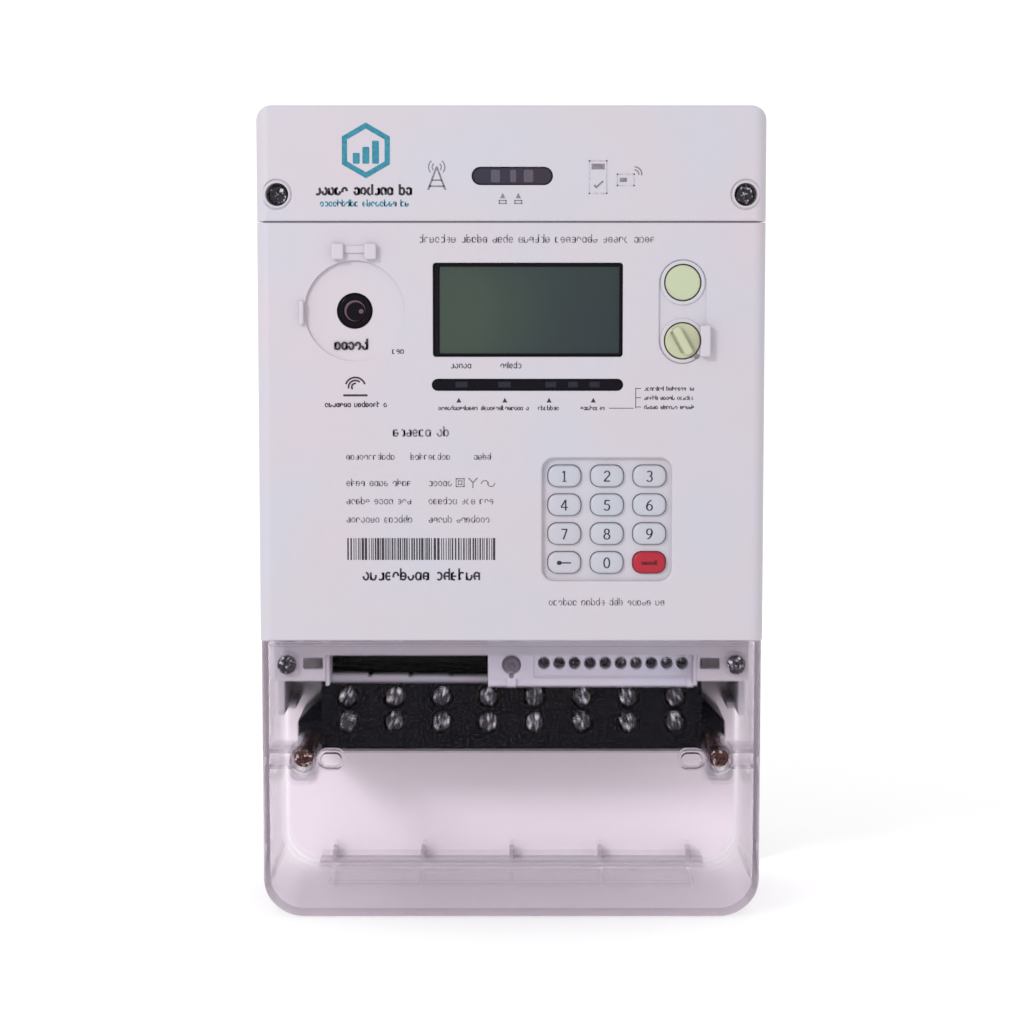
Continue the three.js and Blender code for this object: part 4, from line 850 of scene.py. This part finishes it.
# ---- terminals
def make_terminal_block():
    b = place("terminal_block")
    half, front, back = 66.9, 40.0, b.t0  # the middle part; wings reach on to b.x1
    trough = span(3 - half, -8.5, b.z1 - 7.5, b.z1 - 1.5, 0.3)
    rows = [place("terminal_screw_1a").z, place("terminal_screw_1b").z]
    columns = [place(f"terminal_screw_{i}a").x for i in range(1, 9)]
    seal = place("terminal_cover_screw_left")
    cuts = [pit(disc(x, z, 3.9), 29.2, front, 0.45, steps=10) for x in columns for z in rows]
    cages = [rib(x, 6.5, b.z0 + 2.9, b.z0 + 26.5, back - 1, 29.3) for x in columns]
    risers = [rib(x, 3.3, b.z0 + 26, b.z1 + 1, back - 1, 21) for x in columns]
    bores = [slab(disc(x, 19, 5), b.z0 - 1, b.z0 + 3.5, axis="z", steps=10) for x in columns]
    wings = []
    shoulder = b.z1 - 25
    low, high = shoulder - 0.5, shoulder + 8
    lean = [(low, front), (high, front - 12), (high, front + 1), (low, front + 1)]
    outline = [(half - 1, b.z0), (b.x1, b.z0), (b.x1, shoulder), (b.x1 - 6.3, shoulder + 6),
               (half - 1, shoulder + 6)]
    for side in SIDES:
        wing = loft([([(side * x, z) for x, z in outline], t) for t in (back, front)])
        slope = loft([(lean, side * x) for x in (half, b.x1 + 1)], "x")
        wings.append(carve(wing, (CUT, [slope])))
    bosses = [slab(disc(s * abs(seal.x), seal.z, 3.4), front - 5, b.t1, 0.3, steps=10) for s in SIDES]
    low, high = trough.z - 5.6, trough.z - 2.9
    left, right = trough.x - trough.w / 2, trough.x + trough.w / 2
    slope = [(low, front), (high, front - 4), (high, front + 1), (low, front + 1)]
    lip = loft([(slope, left), (slope, right)], "x")
    grooves = [rib(x, 0.35, b.z0 - 1, b.z1 - 30, front - 0.6, front + 1)
               for x in (columns[0] - 8.2, columns[-1] + 8.2)]
    body = carve(
        slab(span(-half, half, b.z0, b.z1, 0.5), back, front, 0.4),
        (ADD, [*wings, *bosses]),
        (CUT, [slab(trough, 25, front + 1), lip, *cages, *risers, *bores, *cuts, *grooves]),
        (CUT, [pit(disc(s * abs(seal.x), seal.z, 2.05), 28, b.t1, 0.2) for s in SIDES]),
    )
    show(body, "terminal_body", "meter", BLACK, ["terminal_block"])
    left, foot = left + 0.8, trough.z - 6.3
    tiers = [block(left, right, foot, trough.z - 4.6, front - 2, front + 0.6)]
    for i in range(4):
        start, high = left + i * 14.2, trough.z - 3.7 - 0.25 * i
        tiers.append(block(start, start + 12.6, foot + 0.4, high, front - 2, front + 0.45))
    show(join("tiers", tiers), "trough_ledge", "meter", LEDGE)


def cross_screw(x, z, radius, seat, top, tip, shank, wells, turn, ribs=0):
    """A screw: a domed head with a cross recess and a threaded shank; ribs knurl its rim."""
    height = top - seat
    head = slab(disc(0, 0, radius), seat, top, min(0.55, height / 3), 0.15, steps=8)
    arms = [Shape(0, 0, wells * 2, 0.75, 0.2), Shape(0, 0, 0.75, wells * 2, 0.2)]
    pitch = 0.75
    rings = [(disc(0, 0, shank - (0.28 if i % 2 else 0)).points(4), tip + i * pitch / 2)
             for i in range(int((seat - tip) / pitch * 2) + 2)]
    cuts = [slab(arm, top - 1.3, top + 1, steps=3) for arm in arms]
    rim = radius + 0.12
    for a in (2 * math.pi * i / ribs for i in range(ribs)):
        cuts.append(slab(disc(rim * math.cos(a), rim * math.sin(a), 0.32), seat - 1, top + 1, steps=2))
    made = carve(head, (ADD, [loft(rings)]), (CUT, cuts))
    made.data.transform(Matrix.Translation(at(x, z, 0)) @ Matrix.Rotation(turn, 4, "Y"))
    return made


def make_screws():
    chance = random.Random(7)
    for i in range(1, 9):
        for row in "ab":
            node = f"terminal_screw_{i}{row}"
            p = place(node)
            turn = chance.uniform(0, 3)
            screw = cross_screw(p.x, p.z, p.w / 2, p.t1 - 7, p.t1, p.t0, 2.85, 2.1, turn, ribs=16)
            show(screw, f"clamp_screw_{i}{row}", "meter", SCREW, [node], shade=40)
    sealed = (
        ("cover_screw", "meter", SCREW, 1.5),
        ("header_screw", "header", SCREW, 1.7),
        ("terminal_cover_screw", "clear_cover", BRONZE, 1.75),
    )
    for kind, body, finish, shank in sealed:
        for side in ("left", "right"):
            node = f"{kind}_{side}"
            p = place(node)
            turn = chance.uniform(0, 3)
            screw = cross_screw(p.x, p.z, p.w / 2, p.t1 - 2.7, p.t1, p.t0, shank, 1.9, turn)
            show(screw, node + "_fine", body, finish, [node], shade=40)


def make_strip():
    p = place("terminal_strip")
    switch = place("cover_switch_plunger")
    count, pitch, first = 10, 5.35, 11.3
    z = p.z1 - 3.4
    holes = [pit(disc(first + i * pitch, z, 2.15), 42, p.t1, 0.2, steps=8) for i in range(count)]
    window = span(first - 3.6, p.x1 - 1.6, p.z0 + 3.4, p.z1 + 1, 0.4)
    shelf = p.z0 + 3.5
    body = carve(
        slab(span(p.x0, p.x1, p.z0 + 2.9, p.z1, 0.4), p.t0, p.t1, 0.3),
        (ADD, [slab(span(x0, x1, p.z0, shelf, 0.3), p.t0, p.t1 - drop, 0.3)
                   for x0, x1, drop in ((p.x0, p.x1, 1.5), (-1.6, 1.6, 0.1), (p.x1 - 2.4, p.x1, 0.1))]),
        (CUT, [pit(window, p.t1 - 0.6, p.t1, 0.15), *holes]),
        (CUT, [pit(disc(switch.x, switch.z, 3.2), 41.2, p.t1, 0.3, steps=10)]),
    )
    show(body, "auxiliary_strip", "meter", STRIP, ["terminal_strip"])
    pins = [cross_screw(first + i * pitch, z, 1.45, 42.6, 43.6, 42.2, 0.9, 0.9, 0.35 * i)
            for i in range(count)]
    show(join("pins", pins), "auxiliary_screws", "meter", SCREW, shade=40)
    tip = disc(switch.x, switch.z, switch.w / 2 - 0.5)
    button = carve(
        slab(disc(switch.x, switch.z, switch.w / 2), switch.t0, switch.t1 - 0.4, 0.3, steps=10),
        (ADD, [slab(tip, switch.t1 - 0.8, switch.t1, 0.3, steps=10)]),
        (CUT, [pit(disc(switch.x, switch.z, 1.1), switch.t1 - 0.6, switch.t1, 0.2)]),
    )
    show(button, "cover_switch", "cover_switch", GREY, ["cover_switch_plunger"])


# ---- clear terminal cover
def make_clear_cover():
    half, front = clear.x1, clear.t1 - 0.4
    inside, ceiling = half - CLEAR_WALL, front - CLEAR_WALL
    corner = BOTTOM_CORNER - CLEAR_WALL
    seal, switch = place("terminal_cover_screw_left"), place("cover_switch_plunger")
    shape = span(-half, half, BOTTOM, clear.z1, (0.3, 0.3, BOTTOM_CORNER, BOTTOM_CORNER))
    room = span(-inside, inside, BOTTOM + CLEAR_WALL, clear.z1 + 5, (SQUARE, SQUARE, corner, corner))
    hollow = case_block(room, inside, -1, ceiling, 0.3, 2.1)
    rim = span(0.9 - half, half - 0.9, clear.z1 - 2.1, clear.z1 - 1.2, 0.3)
    adds, cuts = [slab(rim, ceiling - 0.8, ceiling + 0.5)], []
    for side in SIDES:
        x = side * abs(seal.x)
        pocket = x - side * 9.6
        adds += [
            slab(disc(x, seal.z, 4.6), 42.6, DEPTH - 0.01, 0.5, steps=14),
            slab(pill(pocket, seal.z, 9.5, 6.8), front - 5, DEPTH - 0.01, 0.5, steps=12),
        ]
        adds += [block(x + side * 3.8, side * (inside + 0.5), z, z + 1.4, 58, ceiling + 0.5)
                 for z in (seal.z + 2, seal.z - 3.4)]
        cuts += [
            slab(disc(x, seal.z, 2.15), 0, DEPTH + 1, steps=10),
            pit(disc(x, seal.z, 3.7), DEPTH - 8, DEPTH, 0.25, steps=14),
            pit(pill(pocket, seal.z, 7.1, 4.4), front - 3.8, DEPTH, 0.3, 0.5, steps=12),
            *[block(side * (half - 0.5), side * (half + 1), z - 1.6, z + 1.6, 60, 66)
              for z in (seal.z - 2.6, seal.z - 32.5)],
        ]
    groove, near, far = (BOTTOM + 1.1, BOTTOM + 3), 12, 38  # knock-outs for the cables
    cuts += [rib(i * BAY_PITCH, 0.45, *groove, near, far) for i in BAYS]
    cuts += [rib(0, 2 * BAY_PITCH, *groove, t, t + 0.9) for t in (near, far)]
    presser = slab(disc(switch.x, switch.z, 0.9), switch.t1 + 0.3, front - 1, foot=0.4, steps=8)
    cover = carve(
        case_block(shape, half, clear.t0, front, 1.2),
        (CUT, [hollow]),
        (ADD, [presser, *adds]),
        (CUT, cuts),
    )
    show(cover, "clear_cover_shell", "clear_cover", CLEAR, ["terminal_cover"])


# ---- printing
def print_case():
    lcd, led, eye = place("lcd_window"), place("led_light_bar"), place("optical_window")
    pad = keys()
    title = Print()
    title.words(-30.8, 49.2, lcd.z1 + 5.9, 3.0, 11, (4, 8))
    title.words(12.6, 51.9, pad["key_0"].z - 13.2, 2.7, 12, (3, 6))
    title.done("print_titles", "meter", INK)
    small = Print()
    for x, seed in ((-20.4, 1), (-3.6, 2)):
        small.words(x, x + 7.4, led.z + 6.6, 2.4, seed, (9, 9))
    for i, (x, w) in enumerate(((-17.6, 13.6), (-2.2, 16.0), (12.6, 7.4), (27.4, 8.4))):
        small.glyph(x, led.z - 5.9, (-0.85, 0), (0.85, 0), (0, 1.6))
        small.words(x - w / 2, x + w / 2, led.z - 7.7, 1.7, 20 + i, (12, 20), 0.14)
    small.patch(36.8, led.z - 7.8, 8.2, 0.22)
    small.patch(41.6, led.z - 4.4, 0.22, 6.9)
    for i, z in enumerate((-1.2, -4.3, -7.4)):
        small.words(44.4, 61.8, led.z + z, 1.6, 30 + i, (5, 8), 0.14)
        small.patch(42.5, led.z + z, 1.8, 0.22)
    small.words(-39.8, -35.4, eye.z - 13.3, 2.3, 41, (9, 9))
    small.done("print_lamp_labels", "meter", DARK_INK)

    maker = Print()
    maker.words(-59.0, -46.2, eye.z - 11.2, 3.8, 51, (9, 9), 0.16)
    for i in range(3):
        maker.arch(-52.2, eye.z - 25.6 + i * 0.1, 3.4 - i * 1.1, 0.6, 20 + 30 * i, 160 + 30 * i)
    maker.patch(-52.2, eye.z - 28.2, 8.2, 0.7, 0.3)
    maker.words(-62.4, -41.4, eye.z - 31.2, 2.1, 52, (5, 9), 0.14)
    maker.done("print_small_marks", "meter", DARK_INK)

    plate = Print()
    z = 28.6
    plate.words(-39.6, -20.4, z, 3.6, 61, (6, 6), 0.15)
    for x0, x1 in ((-55.4, -37.6), (-33.8, -18.0), (-12.6, -5.4)):
        plate.words(x0, x1, z - 8.3, 2.5, int(x1 * 10), (9, 11), 0.12)
    for row, drop in enumerate((17.1, 23.2, 29.4)):
        for x0, x1 in ((-55.4, -33.0), (-27.8, -5.4)):
            if row or x0 < -50:
                plate.words(x0, x1, z - drop, 2.7, 70 + row + int(x0), (3, 8), 0.12)
    plate.words(-27.8, -20.0, z - 17.1, 2.7, 75, (9, 9), 0.12)
    for size, line in ((3.0, 0.35), (1.5, 0.3)):
        plate.frame(-17.2, z - 17.1, size, size, line)
    plate.patch(-12.9, z - 18.0, 0.4, 1.8)
    plate.glyph(-12.9, z - 17.2, (-0.2, 0), (-1.7, 1.6), (-1.3, 1.8), (0, 0.4), (1.3, 1.8),
                (1.7, 1.6), (0.2, 0))
    plate.arch(-8.9, z - 17.6, 1.2, 0.35, 0, 180)
    plate.arch(-6.8, z - 17.2, 1.2, 0.35, 180, 360)
    plate.done("print_rating", "meter", INK)

    code = Print()
    chance = random.Random(5)
    x = -55.2
    while x < -5.6:
        w = chance.choice((0.28, 0.28, 0.5, 0.8))
        code.patch(x + w / 2, z - 39.5, w, 7.4)
        x += w + chance.choice((0.25, 0.4, 0.55))
    code.words(-50.0, -10.4, z - 48.2, 4.2, 81, (5, 9), 0.14)
    code.done("print_code", "meter", DARK_INK)


def print_header():
    slot = place("header_window")
    marks = Print()
    mast = -24.8
    marks.glyph(mast, slot.z, (-3.2, -4.6), (-2.5, -4.6), (0, 2.2), (2.5, -4.6), (3.2, -4.6),
                (0.25, 3.2), (-0.25, 3.2))
    marks.patch(mast, slot.z - 3.4, 5.2, 0.55)
    marks.patch(mast, slot.z - 1.4, 3.4, 0.5)
    for radius in (1.5, 2.7):
        marks.arch(mast, slot.z + 2.9, radius, 0.4, -40, 50)
        marks.arch(mast, slot.z + 2.9, radius, 0.4, 130, 220)
    for x in (-2.9, 2.3):
        marks.glyph(x, slot.z - 7.4, (-0.9, 0), (0.9, 0), (0, 1.8))
        marks.frame(x, slot.z - 8.6, 2.6, 1.3, 0.35)
    marks.patch(28.8, slot.z + 3.1, 4.4, 1.9)
    marks.glyph(0, slot.z, (27.3, -3.2), (28.2, -4.2), (30.7, -1.9), (30.3, -1.5), (28.2, -3.3),
                (27.7, -2.8))
    marks.patch(37.2, slot.z - 1.3, 2.4, 1.4)
    for radius in (1.4, 2.4):
        marks.arch(40.9, slot.z + 0.6, radius, 0.45, -10, 90)
    marks.done("print_symbols", "header", INK)
    faint = Print()
    faint.frame(28.8, slot.z - 0.4, 6.2, 11.2, 0.45)
    faint.frame(38.0, slot.z - 1.3, 6.0, 4.2, 0.45)
    faint.done("print_outlines", "header", FAINT_INK)

    logo = Print()
    x, z, size = -48.3, slot.z + 8.4, 9.2
    turns = [math.radians(60 * i + 30) for i in range(6)]
    rim = [(size * math.cos(a), size * math.sin(a)) for a in turns]
    for (ax, az), (bx, bz) in zip(rim, rim[1:] + rim[:1]):
        logo.glyph(x, z, (ax, az), (bx, bz), (bx * 0.78, bz * 0.78), (ax * 0.78, az * 0.78))
    for i in range(3):
        logo.patch(x - 3.2 + 3.2 * i, z - 2.6 + 1.0 * i, 2.3, 3.6 + 2.0 * i, 0.4)
    logo.words(-63.6, -32.8, slot.z - 9.0, 2.4, 92, (8, 10), 0.16)
    logo.done("print_emblem", "header", TEAL_INK)
    name = Print()
    name.words(-65.2, -31.4, slot.z - 4.6, 3.7, 91, (5, 6), 0.19)
    name.done("print_name", "header", DARK_INK)


# ---- hidden and carried-over pieces
def make_hanger():
    p = place("hanger_bracket")
    key_z = p.z1 - 14.5
    through = (-2, 6)
    plate = carve(
        slab(span(p.x0, p.x1, p.z0, p.z1, (3, 3, 0.4, 0.4)), 1.5, p.t1, 0.25, 0.25),
        (ADD, [slab(span(-9.8, 9.8, p.z0 + 1.2, p.z1 - 1.2, 2), p.t0, 1.7, foot=0.4)]),
        (CUT, [slab(disc(0, key_z, 4.5), *through, steps=12),
                        slab(pill(0, key_z + 5, 5, 11), *through)]),
    )
    show(plate, "hanger_plate", "hanger", STEEL, ["hanger_bracket"])


CARRIED = {
    "body_gasket": RUBBER, "keypad_mat": RUBBER, "display_board": BOARD, "main_board": BOARD,
    "relay_module": MODULE, "comm_module": MODULE, "conductor_phase_1": BRASS,
    "conductor_phase_2": BRASS, "conductor_phase_3": BRASS, "conductor_neutral": BRASS,
}


def dress_cad():
    """Gives the hidden CAD nodes that stay as they are a material each."""
    for node, material in CARRIED.items():
        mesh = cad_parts[node].data
        mesh.materials.clear()
        mesh.materials.append(material)


# ---- stage
def make_stage():
    floor_bm = bmesh.new()
    reach, back, rise, bend = 4.0, 1.6, 3.0, 0.8  # metres
    profile = [(-reach, 0.0), (back, 0.0)]
    for a in (math.pi / 2 * i / 12 for i in range(1, 13)):
        profile.append((back + bend * math.sin(a), bend - bend * math.cos(a)))
    profile += [(back + bend, rise)]
    low = BOTTOM * MM - 0.0005
    rows = [[floor_bm.verts.new((x, y, low + z)) for x in (-reach, reach)] for y, z in profile]
    for near, far in zip(rows, rows[1:]):
        floor_bm.faces.new((near[0], near[1], far[1], far[0]))
    floor = from_bmesh(floor_bm, "backdrop")
    floor.data.polygons.foreach_set("use_smooth", [True] * len(floor.data.polygons))
    paper = Finish("backdrop_paper", (0.96, 0.96, 0.96, 1.0), 0.9)
    paper.bump(paper.noise(60, 2.0), 0.02)
    paper.shader.inputs["Emission Color"].default_value = (1.0, 1.0, 1.0, 1.0)
    paper.shader.inputs["Emission Strength"].default_value = 0.06
    floor.data.materials.append(paper.material)

    world = bpy.data.worlds.new("studio")
    world.use_nodes = True
    sky = world.node_tree.nodes["Background"].inputs
    sky["Color"].default_value, sky["Strength"].default_value = (1.0, 1.0, 1.0, 1.0), 0.97
    scene.world = world

    def lamp(name, place, size, watts):
        data = bpy.data.lights.new(name, "AREA")
        data.shape, data.size, data.energy = "SQUARE", size, watts
        made = bpy.data.objects.new(name, data)
        made.location = place
        made.rotation_euler = (-Vector(place)).to_track_quat("-Z", "Y").to_euler()
        scene.collection.objects.link(made)

    lamp("key", (-1.1, -1.5, 0.9), 0.45, 19)
    lamp("fill", (1.3, -1.2, 0.4), 1.0, 1.5)


def make_camera():
    """The front view: from a little above the middle, looking down at the front face."""
    distance, pitch = 0.905, math.radians(5.3)
    aim = at(0.2, 1.6, DEPTH)
    camera = bpy.data.objects.new("camera", bpy.data.cameras.new("camera"))
    camera.data.lens, camera.data.sensor_width = 94.7, 36
    camera.location = aim + Vector((0, -math.cos(pitch), math.sin(pitch))) * distance
    camera.rotation_euler = (math.pi / 2 - pitch, 0, 0)
    scene.collection.objects.link(camera)
    scene.camera = camera
    scene.view_settings.view_transform = "Standard"


make_camera()
show(make_base(), "base_shell", "meter", BASE_PLASTIC, ["base_housing"])
show(make_front_cover(), "front_shell", "meter", WHITE, ["front_cover"])
show(make_header(), "header_shell", "header", WHITE, ["header_cover"])
make_windows()
make_keys()
make_buttons()
make_terminal_block()
make_strip()
make_screws()
make_clear_cover()
print_case()
print_header()
make_hanger()
dress_cad()
make_stage()
